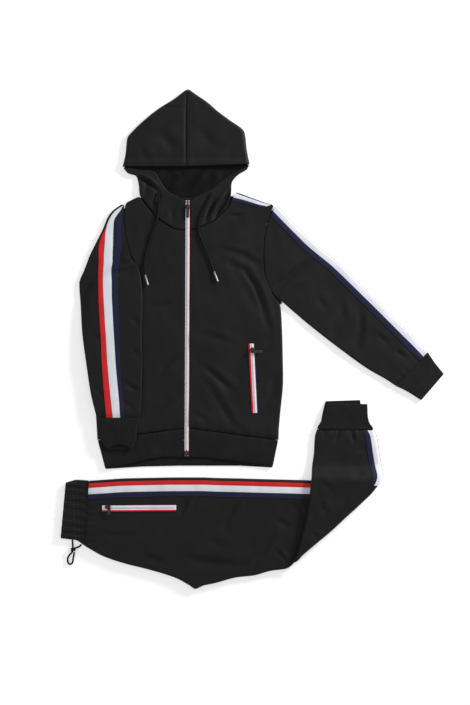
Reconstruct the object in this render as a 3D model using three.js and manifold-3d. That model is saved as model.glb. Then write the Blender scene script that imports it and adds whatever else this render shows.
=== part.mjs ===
// A child's zip-up hooded jacket and matching trousers, laid flat on a surface face up.
// Millimetres, +Z up. The set rests on z = 0, its origin is the middle of its base, and
// left and right are as seen from above with the hood at the top (+Y).
// The jacket's tables are measured from the foot of its zip, the trousers' tables from
// the lower end of their waist seam, so each garment keeps its own sizes.

import * as THREE from "three";
import { mergeVertices } from "three/addons/utils/BufferGeometryUtils.js";
import Module from "manifold-3d";

// Cloth and clearances
const CLOTH = 1.8; // smooth double-knit cloth
const DOUBLE_CLOTH = 3; // hood: shell and lining together
const RIB = 2.2; // cuffs and hem band, folded double
const WAIST = 2.4; // waistband with its elastic
const TAPE = 0.7;
const SEAM = 0.3; // between neighbouring pieces

// Heights of the flattened layers
const JACKET_TOP = 7;
const SLEEVE_THICK = 7;
const HOOD_TOP = 9.8;
const LEG_CORE = 5.2; // hidden layers of one leg
const LEG_TOP = 10.6;
const BAND_THICK = 8;

// Where the two garments lie
const JACKET_AT = [-140.5, -252.5];
const TROUSERS_AT = [-350.5, -446.5];

// Colours
const BLACK = new THREE.MeshStandardMaterial({ color: 0x262427, roughness: 0.75 });
const RIB_BLACK = new THREE.MeshStandardMaterial({ color: 0x1f1f1f, roughness: 0.9 });
const RED = new THREE.MeshStandardMaterial({ color: 0xd8222a, roughness: 0.6 });
const WHITE = new THREE.MeshStandardMaterial({ color: 0xf0f2f8, roughness: 0.6 });
const NAVY = new THREE.MeshStandardMaterial({ color: 0x1f2450, roughness: 0.7 });
const DARK_METAL = new THREE.MeshStandardMaterial({ color: 0x18181a, roughness: 0.4, metalness: 0.8 });
const BRIGHT_METAL = new THREE.MeshStandardMaterial({ color: 0xc8cad0, roughness: 0.3, metalness: 1 });

const wasm = await Module();
wasm.setup();

// Interpolation

// 0 to 1, with a soft start and end, as x goes from low to high.
function ease(low, high, x) {
  const t = Math.min(1, Math.max(0, (x - low) / (high - low)));
  return t * t * (3 - 2 * t);
}

// Slopes of a smooth curve through the values that never swings past one of them.
function slopes(at, values) {
  const rise = values.slice(1).map((v, i) => (v - values[i]) / (at[i + 1] - at[i]));
  return values.map((v, i) => {
    if (i === 0) return rise[0];
    if (i === values.length - 1) return rise[i - 1];
    const [a, b] = [rise[i - 1], rise[i]];
    return a * b <= 0 ? 0 : (2 * a * b) / (a + b);
  });
}

// The table's columns as one smooth function of how far along its rows we are, 0 to 1.
function smooth(table) {
  const at = [0];
  for (let i = 1; i < table.length; i += 1) {
    const [a, b] = [table[i - 1], table[i]];
    const left = Math.hypot(b.ax - a.ax, b.ay - a.ay);
    const right = Math.hypot(b.bx - a.bx, b.by - a.by);
    at.push(at[i - 1] + (left + right) / 2);
  }
  const names = Object.keys(table[0]);
  const columns = names.map((name) => table.map((row) => row[name]));
  const tangents = columns.map((column) => slopes(at, column));
  const length = at[at.length - 1];
  const value = (t) => {
    const x = t * length;
    let i = at.findIndex((a) => a >= x - 1e-9) - 1;
    i = Math.min(Math.max(i, 0), at.length - 2);
    const h = at[i + 1] - at[i];
    const u = (x - at[i]) / h;
    const pick = (v, m) =>
      v[i] * (1 + 2 * u) * (1 - u) ** 2 + v[i + 1] * u * u * (3 - 2 * u) +
      m[i] * h * u * (1 - u) ** 2 + m[i + 1] * h * u * u * (u - 1);
    return Object.fromEntries(names.map((name, k) => [name, pick(columns[k], tangents[k])]));
  };
  return { value, stops: at.map((a) => a / length), length };
}

// Rows of the table with enough steps between them that none is longer than step.
function sections(table, step) {
  const line = smooth(table);
  const rows = [];
  line.stops.slice(0, -1).forEach((from, i) => {
    const to = line.stops[i + 1];
    const steps = Math.max(1, Math.round(((to - from) * line.length) / step));
    for (let k = 0; k < steps; k += 1) rows.push(line.value(from + ((to - from) * k) / steps));
  });
  rows.push(line.value(1));
  return rows;
}

// Signed distance from a point to an open outline: positive on its left-hand side.
function insideOf(outline, x, y) {
  let best = Infinity;
  let side = 1;
  for (let i = 1; i < outline.length; i += 1) {
    const [a, b] = [outline[i - 1], outline[i]];
    const [dx, dy] = [b[0] - a[0], b[1] - a[1]];
    const u = Math.min(1, Math.max(0, ((x - a[0]) * dx + (y - a[1]) * dy) / (dx * dx + dy * dy)));
    const [ox, oy] = [x - a[0] - u * dx, y - a[1] - u * dy];
    const d = Math.hypot(ox, oy);
    if (d < best) {
      best = d;
      side = dx * oy - dy * ox > 0 ? 1 : -1;
    }
  }
  return best * side;
}

// The folds' height at a point: soft troughs (negative) and ridges along short lines.
function folds(table, x, y) {
  return table.reduce((sum, f) => {
    const [dx, dy] = [f.x2 - f.x1, f.y2 - f.y1];
    const u = Math.min(1, Math.max(0, ((x - f.x1) * dx + (y - f.y1) * dy) / (dx * dx + dy * dy)));
    const d = Math.hypot(x - f.x1 - u * dx, y - f.y1 - u * dy);
    return sum + f.rise * Math.exp(-((d / f.width) ** 2)) * Math.sin(Math.PI * (0.12 + 0.76 * u));
  }, 0);
}

// Closed walls from grids of points

// Normals of a grid of points; wrap joins its last column to its first.
function normals(grid, wrap) {
  const [rows, columns] = [grid.length, grid[0].length];
  const step = (list, i, n, round) => {
    const last = round ? list[(i + 1) % n] : list[Math.min(i + 1, n - 1)];
    const first = round ? list[(i + n - 1) % n] : list[Math.max(i - 1, 0)];
    return new THREE.Vector3().subVectors(last, first);
  };
  return grid.map((row, i) =>
    row.map((_, j) => {
      const across = step(row, j, columns, wrap);
      const along = step(grid.map((r) => r[j]), i, rows, false);
      return across.cross(along).normalize();
    }),
  );
}

// A closed solid between an outer and an inner grid of points.
function between(outer, inner, wrap) {
  const [rows, columns] = [outer.length, outer[0].length];
  const points = [...outer.flat(), ...inner.flat()];
  const index = [];
  const id = (layer, i, j) => layer * rows * columns + i * columns + (j % columns);
  const quad = (a, b, c, d) => index.push(a, b, c, a, c, d);
  const lastColumn = wrap ? columns : columns - 1;
  for (let i = 0; i < rows - 1; i += 1) {
    for (let j = 0; j < lastColumn; j += 1) {
      quad(id(0, i, j), id(0, i, j + 1), id(0, i + 1, j + 1), id(0, i + 1, j));
      quad(id(1, i, j), id(1, i + 1, j), id(1, i + 1, j + 1), id(1, i, j + 1));
    }
  }
  for (let j = 0; j < lastColumn; j += 1) {
    quad(id(0, 0, j), id(1, 0, j), id(1, 0, j + 1), id(0, 0, j + 1));
    quad(id(0, rows - 1, j), id(0, rows - 1, j + 1), id(1, rows - 1, j + 1), id(1, rows - 1, j));
  }
  if (!wrap) {
    for (let i = 0; i < rows - 1; i += 1) {
      quad(id(0, i, 0), id(0, i + 1, 0), id(1, i + 1, 0), id(1, i, 0));
      const end = columns - 1;
      quad(id(0, i, end), id(1, i, end), id(1, i + 1, end), id(0, i + 1, end));
    }
  }
  const geometry = new THREE.BufferGeometry();
  const positions = points.flatMap((p) => p.toArray());
  geometry.setAttribute("position", new THREE.Float32BufferAttribute(positions, 3));
  geometry.setIndex(index);
  geometry.computeVertexNormals();
  return geometry;
}

// A grid moved out along its normals.
function movedOut(grid, distance, wrap = false) {
  const out = normals(grid, wrap);
  return grid.map((row, i) => row.map((p, j) => p.clone().addScaledVector(out[i][j], distance)));
}

// Tape laid on part of a grid between two of its columns: the grid's points, moved out.
function tapeOn(grid, from, to, { rows = [0], wrap = true } = {}) {
  const strip = (distance) => movedOut(grid, distance, wrap).slice(...rows).map((row) => {
    const points = row.slice(from, to + 1);
    const last = points.length - 1;
    const inset = (p, q) => p.clone().lerp(q, Math.min(1 / 3, SEAM / 2 / p.distanceTo(q)));
    return points.map((p, k) => {
      if (k === 0) return inset(p, points[1]);
      return k === last ? inset(p, points[last - 1]) : p;
    });
  });
  return between(strip(SEAM + TAPE), strip(SEAM), false);
}

// A grid whose middle faces up: its rows are reversed if they run the other way round.
function facingUp(grid) {
  const i = Math.floor(grid.length / 2);
  const j = Math.floor(grid[0].length / 4);
  const [p, q, r] = [grid[i][j], grid[i][j + 1], grid[i + 1 < grid.length ? i + 1 : i - 1][j]];
  const along = r.clone().sub(p).multiplyScalar(i + 1 < grid.length ? 1 : -1);
  return q.clone().sub(p).cross(along).z > 0 ? grid : [...grid].reverse();
}

// Places across one section, from edge a (0) to edge b: distance from a, and how much of
// the full height the cloth has reached there. An edge with a roll curves down to its foot.
const ARC = [0, 30, 60, 90].map((degrees) => (degrees * Math.PI) / 180);

function across(width, rollA, rollB, marks, count) {
  const places = [];
  const shrink = Math.min(1, width / (rollA + rollB + 2));
  const [a, b] = [rollA * shrink, rollB * shrink];
  if (a > 0) ARC.forEach((t) => places.push([a * (1 - Math.cos(t)), Math.sin(t)]));
  else places.push([0, 1]);
  let from = a;
  const least = Math.min(0.5, (width - a - b) / (marks.length + 2));
  marks.forEach((mark, k) => {
    const at = Math.min(Math.max(mark, from + least), width - b - least * (marks.length - k));
    places.push([at, 1]);
    from = at;
  });
  for (let k = 1; k < count; k += 1) places.push([from + ((width - b - from) * k) / count, 1]);
  if (b > 0) [...ARC].reverse().forEach((t) => places.push([width - b * (1 - Math.cos(t)), Math.sin(t)]));
  else places.push([width, 1]);
  return places;
}

// The same places on the cloth's inner face, a wall further in from each rolled edge.
function within(places, width, rollA, rollB, wall) {
  const edge = Math.min(wall, 0.3 * width);
  const side = (roll, start) => {
    if (roll === 0) return { from: 0, to: 0 };
    return { from: edge, to: edge + Math.max(0.05 * edge, start - wall) };
  };
  const shrink = Math.min(1, width / (rollA + rollB + 2));
  const [a, b] = [rollA * shrink, rollB * shrink];
  const [inA, inB] = [side(a, a), side(b, b)];
  return places.map(([d, f]) => {
    if (d < a) return [inA.from + ((inA.to - inA.from) * d) / a, f];
    if (d > width - b) return [width - inB.from - ((inB.to - inB.from) * (width - d)) / b, f];
    const share = (d - a) / (width - a - b);
    return [inA.to + (width - inB.to - inA.to) * share, f];
  });
}

// The places across one row of a table, on the outer face or a wall further in.
function rowPlaces(row, { rollA = 0, rollB = 0, marks = [], count, wall = 0 }) {
  const a = new THREE.Vector2(row.ax, row.ay);
  const b = new THREE.Vector2(row.bx, row.by);
  const width = a.distanceTo(b);
  const rolls = [row.rollA ?? rollA, row.rollB ?? rollB];
  const places = across(width, ...rolls, marks.map((name) => row[name]), count);
  return { a, b, width, places: wall ? within(places, width, ...rolls, wall) : places };
}

// A flat-lying panel: one layer of cloth between edges a and b of its table.
function panel(shape) {
  const { table, step, top, foot, wall = 0 } = shape;
  return facingUp(sections(table, step).map((row) => {
    const { a, b, width, places } = rowPlaces(row, shape);
    return places.map(([d, f]) => {
      const p = a.clone().lerp(b, d / width);
      const low = foot(p.x, p.y, d / width);
      return new THREE.Vector3(p.x, p.y, low + (top(p.x, p.y) - wall - low) * f);
    });
  }));
}

// A flattened tube between edges a and b of its table: over the top, then back under.
function tube(shape) {
  const { table, step, top, under, arch = 0, wall = 0 } = shape;
  const rows = sections(table, step);
  return facingUp(rows.map((row, i) => {
    const { a, b, width, places } = rowPlaces(row, shape);
    const end = rows[rows.length - 1];
    const start = rows[0];
    const ahead = new THREE.Vector2(end.ax + end.bx - start.ax - start.bx, end.ay + end.by - start.ay - start.by);
    const lean = ahead.normalize().multiplyScalar(-arch * (i / (rows.length - 1)));
    const point = ([d, f], half) => {
      const p = a.clone().lerp(b, d / width);
      const [high, low] = [top(p.x, p.y), under(p.x, p.y)];
      const middle = (high + low) / 2;
      const bow = half > 0 ? Math.sin((Math.PI * d) / width) : 0;
      p.addScaledVector(lean, bow);
      return new THREE.Vector3(p.x, p.y, middle + ((high - low) / 2 - wall) * f * half);
    };
    const over = places.map((place) => point(place, 1));
    const back = places.slice(1, -1).reverse().map((place) => point(place, -1));
    return [...over, ...back];
  }));
}

// Cloth of the given wall inside a panel or a tube.
function cloth(make, shape, wall) {
  return between(make(shape), make({ ...shape, wall }), make === tube);
}

const set = new THREE.Group();

function add(group, name, geometry, material) {
  const mesh = new THREE.Mesh(geometry, material);
  mesh.name = name;
  group.add(mesh);
}

// Jacket

const jacket = new THREE.Group();
jacket.position.set(...JACKET_AT, 0);
set.add(jacket);

const ZIP_HALF = 5.6; // from the teeth to the cloth's edge
const ZIP_FOOT = -1;
const ZIP_LEAN = 2.5 / 550;
const zipAt = (y) => ZIP_FOOT + ZIP_LEAN * y;
const zipLeft = (y) => zipAt(y) - ZIP_HALF;
const zipRight = (y) => zipAt(y) + ZIP_HALF;

// The largest folds in the fronts: troughs below zero, ridges above.
const FRONT_FOLDS = [
  { x1: 92, y1: 416, x2: 178, y2: 275, rise: -1.6, width: 9 },
  { x1: 74, y1: 448, x2: 155, y2: 411, rise: -1.0, width: 7 },
  { x1: -24, y1: 218, x2: -61, y2: 181, rise: -0.9, width: 8 },
  { x1: 34, y1: 196, x2: 99, y2: 141, rise: -0.9, width: 9 },
  { x1: -40, y1: 300, x2: -30, y2: 120, rise: 0.9, width: 26 },
  { x1: 80, y1: 330, x2: 60, y2: 120, rise: 0.9, width: 30 },
  { x1: -150, y1: 520, x2: -140, y2: 40, rise: 0.4, width: 75 },
  { x1: 130, y1: 540, x2: 120, y2: 40, rise: 0.5, width: 75 },
  { x1: -24, y1: 440, x2: -92, y2: 390, rise: -1.0, width: 22 },
  { x1: -110, y1: 500, x2: -40, y2: 480, rise: -0.7, width: 26 },
  { x1: -20, y1: 345, x2: -90, y2: 318, rise: -0.8, width: 24 },
];
const frontTop = (x, y) => JACKET_TOP + folds(FRONT_FOLDS, x, y);
const onBack = () => CLOTH + SEAM;
const onSurface = () => 0;

// Back: flat on the surface. Each row runs from its left edge to its right edge.
const BACK = [
  { ax: -104, ay: 556, bx: 108, by: 556 },
  { ax: -131, ay: 545, bx: 129, by: 547 },
  { ax: -134, ay: 534, bx: 176, by: 531 },
  { ax: -135, ay: 499, bx: 172, by: 503 },
  { ax: -126, ay: 453, bx: 164, by: 457 },
  { ax: -113, ay: 414, bx: 163, by: 423 },
  { ax: -118, ay: 402, bx: 165, by: 393 },
  { ax: -145, ay: 388, bx: 174, by: 371 },
  { ax: -180, ay: 362, bx: 183, by: 349 },
  { ax: -198, ay: 325, bx: 200, by: 322 },
  { ax: -202, ay: 270, bx: 203, by: 270 },
  { ax: -203, ay: 166, bx: 206, by: 166 },
  { ax: -196, ay: 85, bx: 199, by: 85 },
  { ax: -192, ay: 37, bx: 196, by: 37 },
];
const back = { table: BACK, step: 60, count: 3, top: () => CLOTH, foot: onSurface };
add(jacket, "jacket_back", cloth(panel, back, CLOTH), BLACK);

// Fronts: from the side (a), over the chest, to the neck seam and the zip (b).
const LEFT_FRONT = [
  { ax: -104, ay: 559, bx: -100, by: 556, rollA: 1 },
  { ax: -116, ay: 554, bx: -93, by: 546, rollA: 3 },
  { ax: -131, ay: 545, bx: -79, by: 528, rollA: 3 },
  { ax: -134, ay: 533, bx: -64, by: 510, rollA: 1 },
  { ax: -135, ay: 515, bx: -45, by: 498, rollA: 1 },
  { ax: -135, ay: 499, bx: -24, by: 488, rollA: 1 },
  { ax: -132, ay: 480, bx: zipLeft(485), by: 485, rollA: 1 },
  { ax: -126, ay: 453, bx: zipLeft(455), by: 455, rollA: 1 },
  { ax: -119, ay: 429, bx: zipLeft(430), by: 430, rollA: 1 },
  { ax: -113, ay: 414, bx: zipLeft(412), by: 412, rollA: 1 },
  { ax: -118, ay: 402, bx: zipLeft(398), by: 398, rollA: 1 },
  { ax: -145, ay: 388, bx: zipLeft(382), by: 382, rollA: 3 },
  { ax: -180, ay: 362, bx: zipLeft(356), by: 356, rollA: 5 },
  { ax: -198, ay: 325, bx: zipLeft(322), by: 322, rollA: 5 },
  { ax: -202, ay: 270, bx: zipLeft(270), by: 270, rollA: 5 },
  { ax: -203, ay: 166, bx: zipLeft(166), by: 166, rollA: 5 },
  { ax: -196, ay: 85, bx: zipLeft(90), by: 90, rollA: 5 },
  { ax: -192, ay: 37, bx: zipLeft(61.5), by: 61.5, rollA: 5 },
];
const RIGHT_FRONT = [
  { ax: 106, ay: 569, bx: 100, by: 560, rollA: 1 },
  { ax: 118, ay: 565, bx: 88, by: 535, rollA: 3 },
  { ax: 134, ay: 559, bx: 74, by: 521, rollA: 3 },
  { ax: 166, ay: 547, bx: 58, by: 506, rollA: 3 },
  { ax: 186, ay: 540, bx: 45, by: 499, rollA: 2 },
  { ax: 178, ay: 520, bx: 30, by: 492, rollA: 1 },
  { ax: 168, ay: 485, bx: zipRight(485), by: 485, rollA: 1 },
  { ax: 165, ay: 455, bx: zipRight(455), by: 455, rollA: 1 },
  { ax: 164, ay: 423, bx: zipRight(423), by: 423, rollA: 1 },
  { ax: 166, ay: 393, bx: zipRight(393), by: 393, rollA: 1 },
  { ax: 174, ay: 372, bx: zipRight(372), by: 372, rollA: 1 },
  { ax: 184, ay: 349, bx: zipRight(347), by: 347, rollA: 1 },
  { ax: 201, ay: 323, bx: zipRight(322), by: 322, rollA: 4 },
  { ax: 204, ay: 290, bx: zipRight(290), by: 290, rollA: 5 },
  { ax: 206, ay: 228, bx: zipRight(228), by: 228, rollA: 5 },
  { ax: 207, ay: 166, bx: zipRight(166), by: 166, rollA: 5 },
  { ax: 200, ay: 85, bx: zipRight(90), by: 90, rollA: 5 },
  { ax: 196, ay: 37, bx: zipRight(61.5), by: 61.5, rollA: 5 },
];
RIGHT_FRONT.forEach((row) => Object.assign(row, { white: 1, navy: 14, end: 24 }));
const front = { step: 40, top: frontTop, foot: onBack };
const leftFront = { ...front, table: LEFT_FRONT, count: 6 };
const rightFront = { ...front, table: RIGHT_FRONT, marks: ["white", "navy", "end"], count: 5 };
add(jacket, "left_front", cloth(panel, leftFront, CLOTH), BLACK);
add(jacket, "right_front", cloth(panel, rightFront, CLOTH), BLACK);

// Sleeves: from the edge that carries the tape (a) to the other edge (b).
// The left one is folded over the front, the right one lies out on the surface.
const BODY_LEFT = [[-113, 430], [-113, 414], [-118, 402], [-145, 388], [-180, 362], [-198, 325],
  [-202, 270], [-203, 166], [-196, 85], [-193, 37], [-178, -24], [-168, -60]];
const DROOP = [-34, -13]; // beside the body, where the sleeve comes down to the surface
const ARMHOLE_END = [419, 438];
const leftSleeveUnder = (x, y) =>
  (JACKET_TOP + 1.2) * ease(...DROOP, insideOf(BODY_LEFT, x, y)) * (1 - ease(...ARMHOLE_END, y));
const LEFT_SLEEVE = [
  { ax: -141, ay: 543, bx: -135.5, by: 541, beside: 1, over: 1.5, red: 1, white: 2, navy: 4, end: 5, rollB: 1 },
  { ax: -161, ay: 528, bx: -136, by: 525, beside: 1, over: 1.5, red: 2, white: 3, navy: 16, end: 23, rollB: 1 },
  { ax: -172, ay: 512, bx: -136.5, by: 510, beside: 1, over: 1.5, red: 2, white: 4, navy: 16.5, end: 33, rollB: 1 },
  { ax: -181, ay: 490, bx: -136, by: 490, beside: 1, over: 1.5, red: 3, white: 7, navy: 23, end: 40, rollB: 1 },
  { ax: -197, ay: 458, bx: -129, by: 458, beside: 5, over: 6, red: 8, white: 20, navy: 38, end: 56, rollB: 1 },
  { ax: -211, ay: 429, bx: -121, by: 429, beside: 10, over: 17, red: 21, white: 32, navy: 51, end: 67, rollB: 1 },
  { ax: -215, ay: 418, bx: -115, by: 419, beside: 11, over: 20, red: 25, white: 36, navy: 55, end: 70, rollB: 1 },
  { ax: -222, ay: 400, bx: -104, by: 405, beside: 14, over: 25, red: 31, white: 42, navy: 60, end: 76, rollB: 2 },
  { ax: -232, ay: 372, bx: -97, by: 370, beside: 14, over: 25, red: 42, white: 52, navy: 71, end: 84, rollB: 3.5 },
  { ax: -229, ay: 324, bx: -95, by: 324, beside: 14, over: 25, red: 40, white: 51, navy: 69, end: 82, rollB: 3.5 },
  { ax: -226, ay: 273, bx: -97, by: 273, beside: 14, over: 25, red: 40, white: 51, navy: 69, end: 80, rollB: 3.5 },
  { ax: -217, ay: 205, bx: -96, by: 205, beside: 14, over: 25, red: 34, white: 46, navy: 64, end: 74, rollB: 3.5 },
  { ax: -207, ay: 138, bx: -97, by: 138, beside: 10, over: 17, red: 29, white: 42, navy: 60, end: 68, rollB: 3.5 },
  { ax: -194, ay: 84, bx: -101, by: 84, beside: 10, over: 17, red: 21, white: 35, navy: 51, end: 61, rollB: 3.5 },
];
const LEFT_SLEEVE_FOLDS = [
  { x1: -132, y1: 160, x2: -104, y2: 141, rise: -1.2, width: 8 },
  { x1: -150, y1: 392, x2: -106, y2: 410, rise: -1.4, width: 8 },
];
const leftSleeve = {
  table: LEFT_SLEEVE, step: 30, rollA: 3.5, rollB: 3.5, count: 3,
  marks: ["beside", "over", "red", "white", "navy", "end"],
  top: (x, y) => leftSleeveUnder(x, y) + SLEEVE_THICK + folds(LEFT_SLEEVE_FOLDS, x, y),
  under: leftSleeveUnder,
};
add(jacket, "left_sleeve", cloth(tube, leftSleeve, CLOTH), BLACK);
const onLeftSleeve = tube(leftSleeve);
add(jacket, "left_sleeve_red", tapeOn(onLeftSleeve, 6, 7, { rows: [0, -1] }), RED);
add(jacket, "left_sleeve_white", tapeOn(onLeftSleeve, 7, 8), WHITE);
add(jacket, "left_sleeve_navy", tapeOn(onLeftSleeve, 8, 9), NAVY);

const RIGHT_SLEEVE = [
  { ax: 193, ay: 540, bx: 185.2, by: 533, rollB: 1 },
  { ax: 207, ay: 524, bx: 177.4, by: 511, rollB: 1 },
  { ax: 226, ay: 504, bx: 169.2, by: 482, rollB: 1 },
  { ax: 249, ay: 481, bx: 166, by: 450, rollB: 1 },
  { ax: 274, ay: 458, bx: 167.6, by: 393, rollB: 1 },
  { ax: 300, ay: 437, bx: 185.6, by: 350, rollB: 1 },
  { ax: 321, ay: 420, bx: 206, by: 332, rollB: 3 },
  { ax: 368, ay: 375, bx: 262, by: 284, rollB: 3.5 },
  { ax: 420, ay: 324, bx: 330, by: 231, rollB: 3.5 },
  { ax: 471, ay: 273, bx: 390, by: 188, rollB: 3.5 },
  { ax: 500, ay: 244, bx: 430, by: 165, rollB: 3.5 },
  { ax: 518, ay: 225, bx: 449, by: 152, rollB: 3.5 },
];
RIGHT_SLEEVE.forEach((row) => Object.assign(row, { navy: 14, end: 26 }));
const RIGHT_SLEEVE_FOLDS = [
  { x1: 178, y1: 352, x2: 262, y2: 412, rise: -1.6, width: 10 },
  { x1: 234, y1: 335, x2: 236, y2: 250, rise: -1.0, width: 12 },
  { x1: 330, y1: 330, x2: 318, y2: 250, rise: -0.9, width: 12 },
];
const rightSleeve = {
  table: RIGHT_SLEEVE, step: 45, rollA: 3.5, rollB: 3.5, marks: ["navy", "end"], count: 4,
  top: (x, y) => SLEEVE_THICK + folds(RIGHT_SLEEVE_FOLDS, x, y),
  under: onSurface,
};
add(jacket, "right_sleeve", cloth(tube, rightSleeve, CLOTH), BLACK);
const onRightSleeve = tube(rightSleeve);
add(jacket, "right_sleeve_red", tapeOn(onRightSleeve, 0, 1), RED);
add(jacket, "right_sleeve_white", tapeOn(onRightSleeve, 1, 4), WHITE);
add(jacket, "right_sleeve_navy", tapeOn(onRightSleeve, 4, 5), NAVY);
const onRightFront = panel(rightFront);
const onShoulder = { wrap: false, rows: [0, 6] };
add(jacket, "right_shoulder_white", tapeOn(onRightFront, 4, 5, onShoulder), WHITE);
add(jacket, "right_shoulder_navy", tapeOn(onRightFront, 5, 6, onShoulder), NAVY);

// Cuffs, open at the hand, their upper edge bowed back a little.
const CUFF_BOW = 12;
const LEFT_CUFF = [
  { ax: -193, ay: 83.5, bx: -102, by: 83.5 },
  { ax: -188, ay: 60, bx: -107, by: 60 },
  { ax: -184, ay: 33, bx: -108, by: 40 },
  { ax: -171, ay: 15, bx: -117, by: 15 },
];
const RIGHT_CUFF = [
  { ax: 518.4, ay: 224.6, bx: 449.4, by: 151.7 },
  { ax: 533, ay: 203, bx: 470, by: 142 },
  { ax: 553, ay: 178, bx: 504, by: 121 },
];
const sleeveCuff = { step: 24, rollA: 3.5, rollB: 3.5, count: 6 };
const leftCuff = {
  ...sleeveCuff, table: LEFT_CUFF, arch: CUFF_BOW,
  top: (x, y) => leftSleeveUnder(x, y) + SLEEVE_THICK, under: leftSleeveUnder,
};
const rightCuff = { ...sleeveCuff, table: RIGHT_CUFF, top: () => SLEEVE_THICK, under: onSurface };
add(jacket, "left_cuff", cloth(tube, leftCuff, RIB), RIB_BLACK);
add(jacket, "right_cuff", cloth(tube, rightCuff, RIB), RIB_BLACK);

// Hem band: one strip of rib from the zip, round the back, to the zip again.
const BAND = { top: [-192.5, 196.5], bottom: [-176, 184], rows: 4, roll: 3.5 };
const BAND_SEAM = [[-193, 35.2], [zipLeft(60), 60], [zipRight(60), 60], [197, 35.2]];
const BAND_FRONT_HEM = [
  [-176, -25], [-132, -17], [-86, -6], [-49, 0], [37, -1], [83, -6], [160, -17], [184, -23],
];
const BAND_BACK_HEM = [[-176, -27], [-99, -22], [-17, -20], [114, -20], [184, -24]];
function heightOn(line, x) {
  const past = line.findIndex((p) => p[0] >= x);
  const i = past < 0 ? line.length - 1 : Math.max(past, 1);
  const [a, b] = [line[i - 1], line[i]];
  return a[1] + ((b[1] - a[1]) * (x - a[0])) / (b[0] - a[0]);
}
function hemBand() {
  const grid = [];
  for (let i = 0; i <= BAND.rows; i += 1) {
    const k = i / BAND.rows;
    const left = BAND.top[0] + (BAND.bottom[0] - BAND.top[0]) * k;
    const right = BAND.top[1] + (BAND.bottom[1] - BAND.top[1]) * k;
    const front = (x, z) => {
      const y = heightOn(BAND_SEAM, x) + (heightOn(BAND_FRONT_HEM, x) - heightOn(BAND_SEAM, x)) * k;
      return new THREE.Vector3(x, y, z);
    };
    const under = (x, z) => {
      const y = BAND_SEAM[0][1] + (heightOn(BAND_BACK_HEM, x) - BAND_SEAM[0][1]) * k;
      return new THREE.Vector3(x, y, z);
    };
    const middle = JACKET_TOP / 2;
    const bend = (edge, side, half, place) => [...ARC].map((t) => {
      const d = BAND.roll * (1 - Math.cos(t));
      return place(edge + side * d, middle + half * middle * Math.sin(t));
    });
    const across = (from, to, steps, place, z) =>
      Array.from({ length: steps }, (_, n) => place(from + ((to - from) * (n + 1)) / (steps + 1), z));
    const zipL = zipLeft(30);
    const zipR = zipRight(30);
    grid.push([
      front(zipL, JACKET_TOP),
      ...across(zipL, left + BAND.roll, 5, front, JACKET_TOP),
      ...bend(left, 1, 1, front).reverse(),
      ...bend(left, 1, -1, under).slice(1),
      ...across(left + BAND.roll, right - BAND.roll, 5, under, 0),
      ...bend(right, -1, -1, under).reverse().slice(0, -1),
      ...bend(right, -1, 1, front),
      ...across(right - BAND.roll, zipR, 5, front, JACKET_TOP),
      front(zipR, JACKET_TOP),
    ]);
  }
  return grid;
}
const band = hemBand();
add(jacket, "hem_band", between(band, movedOut(band, -RIB), false), RIB_BLACK);

// Hood: two crown halves folded forward over its back part, and its two front ends.
const HOOD_BACK = [
  { ax: -96, ay: 558, bx: 92, by: 560 },
  { ax: -97, ay: 585, bx: 88, by: 585 },
  { ax: -103, ay: 600, bx: 102, by: 603 },
  { ax: -126, ay: 630, bx: 122, by: 632 },
  { ax: -121, ay: 684, bx: 116, by: 690 },
  { ax: -78, ay: 722, bx: 82, by: 718 },
  { ax: -22, ay: 760, bx: 24, by: 760 },
];
const hoodBack = { table: HOOD_BACK, step: 60, count: 4, top: () => DOUBLE_CLOTH, foot: onSurface };
add(jacket, "hood_back", cloth(panel, hoodBack, DOUBLE_CLOTH), BLACK);

const CROWN_ROLL = 8;
const CROWN_FOLDS = [
  { x1: -57, y1: 752, x2: -3, y2: 753, rise: 1.0, width: 5 },
  { x1: -60, y1: 700, x2: -20, y2: 650, rise: -0.8, width: 14 },
  { x1: -2, y1: 625, x2: -2, y2: 770, rise: -1.0, width: 5 },
];
const crownTop = (x, y) => HOOD_TOP + folds(CROWN_FOLDS, x, y);
const LEFT_CROWN = [
  { ax: -139, ay: 624, bx: -2.3, by: 624 },
  { ax: -133, ay: 650, bx: -2.3, by: 650 },
  { ax: -129, ay: 685, bx: -2.3, by: 684 },
  { ax: -116, ay: 702, bx: -2.3, by: 706 },
  { ax: -87, ay: 729, bx: -2.3, by: 734 },
  { ax: -57, ay: 752, bx: -1.8, by: 757 },
  { ax: -28, ay: 770, bx: 0, by: 774 },
  { ax: -5, ay: 788, bx: 2, by: 790 },
];
const RIGHT_CROWN = [
  { ax: 135, ay: 629, bx: -1.7, by: 624 },
  { ax: 129, ay: 660, bx: -1.7, by: 655 },
  { ax: 124, ay: 698, bx: -1.7, by: 690 },
  { ax: 90, ay: 726, bx: -1.7, by: 718 },
  { ax: 65, ay: 745, bx: -1.5, by: 740 },
  { ax: 43, ay: 764, bx: -0.8, by: 760 },
  { ax: 21, ay: 779, bx: 1, by: 775 },
  { ax: 7, ay: 789, bx: 2.6, by: 790 },
];
const crown = { step: 45, rollA: CROWN_ROLL, count: 6, top: crownTop, foot: onSurface };
add(jacket, "hood_left", cloth(panel, { ...crown, table: LEFT_CROWN }, DOUBLE_CLOTH), BLACK);
add(jacket, "hood_right", cloth(panel, { ...crown, table: RIGHT_CROWN }, DOUBLE_CLOTH), BLACK);

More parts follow.
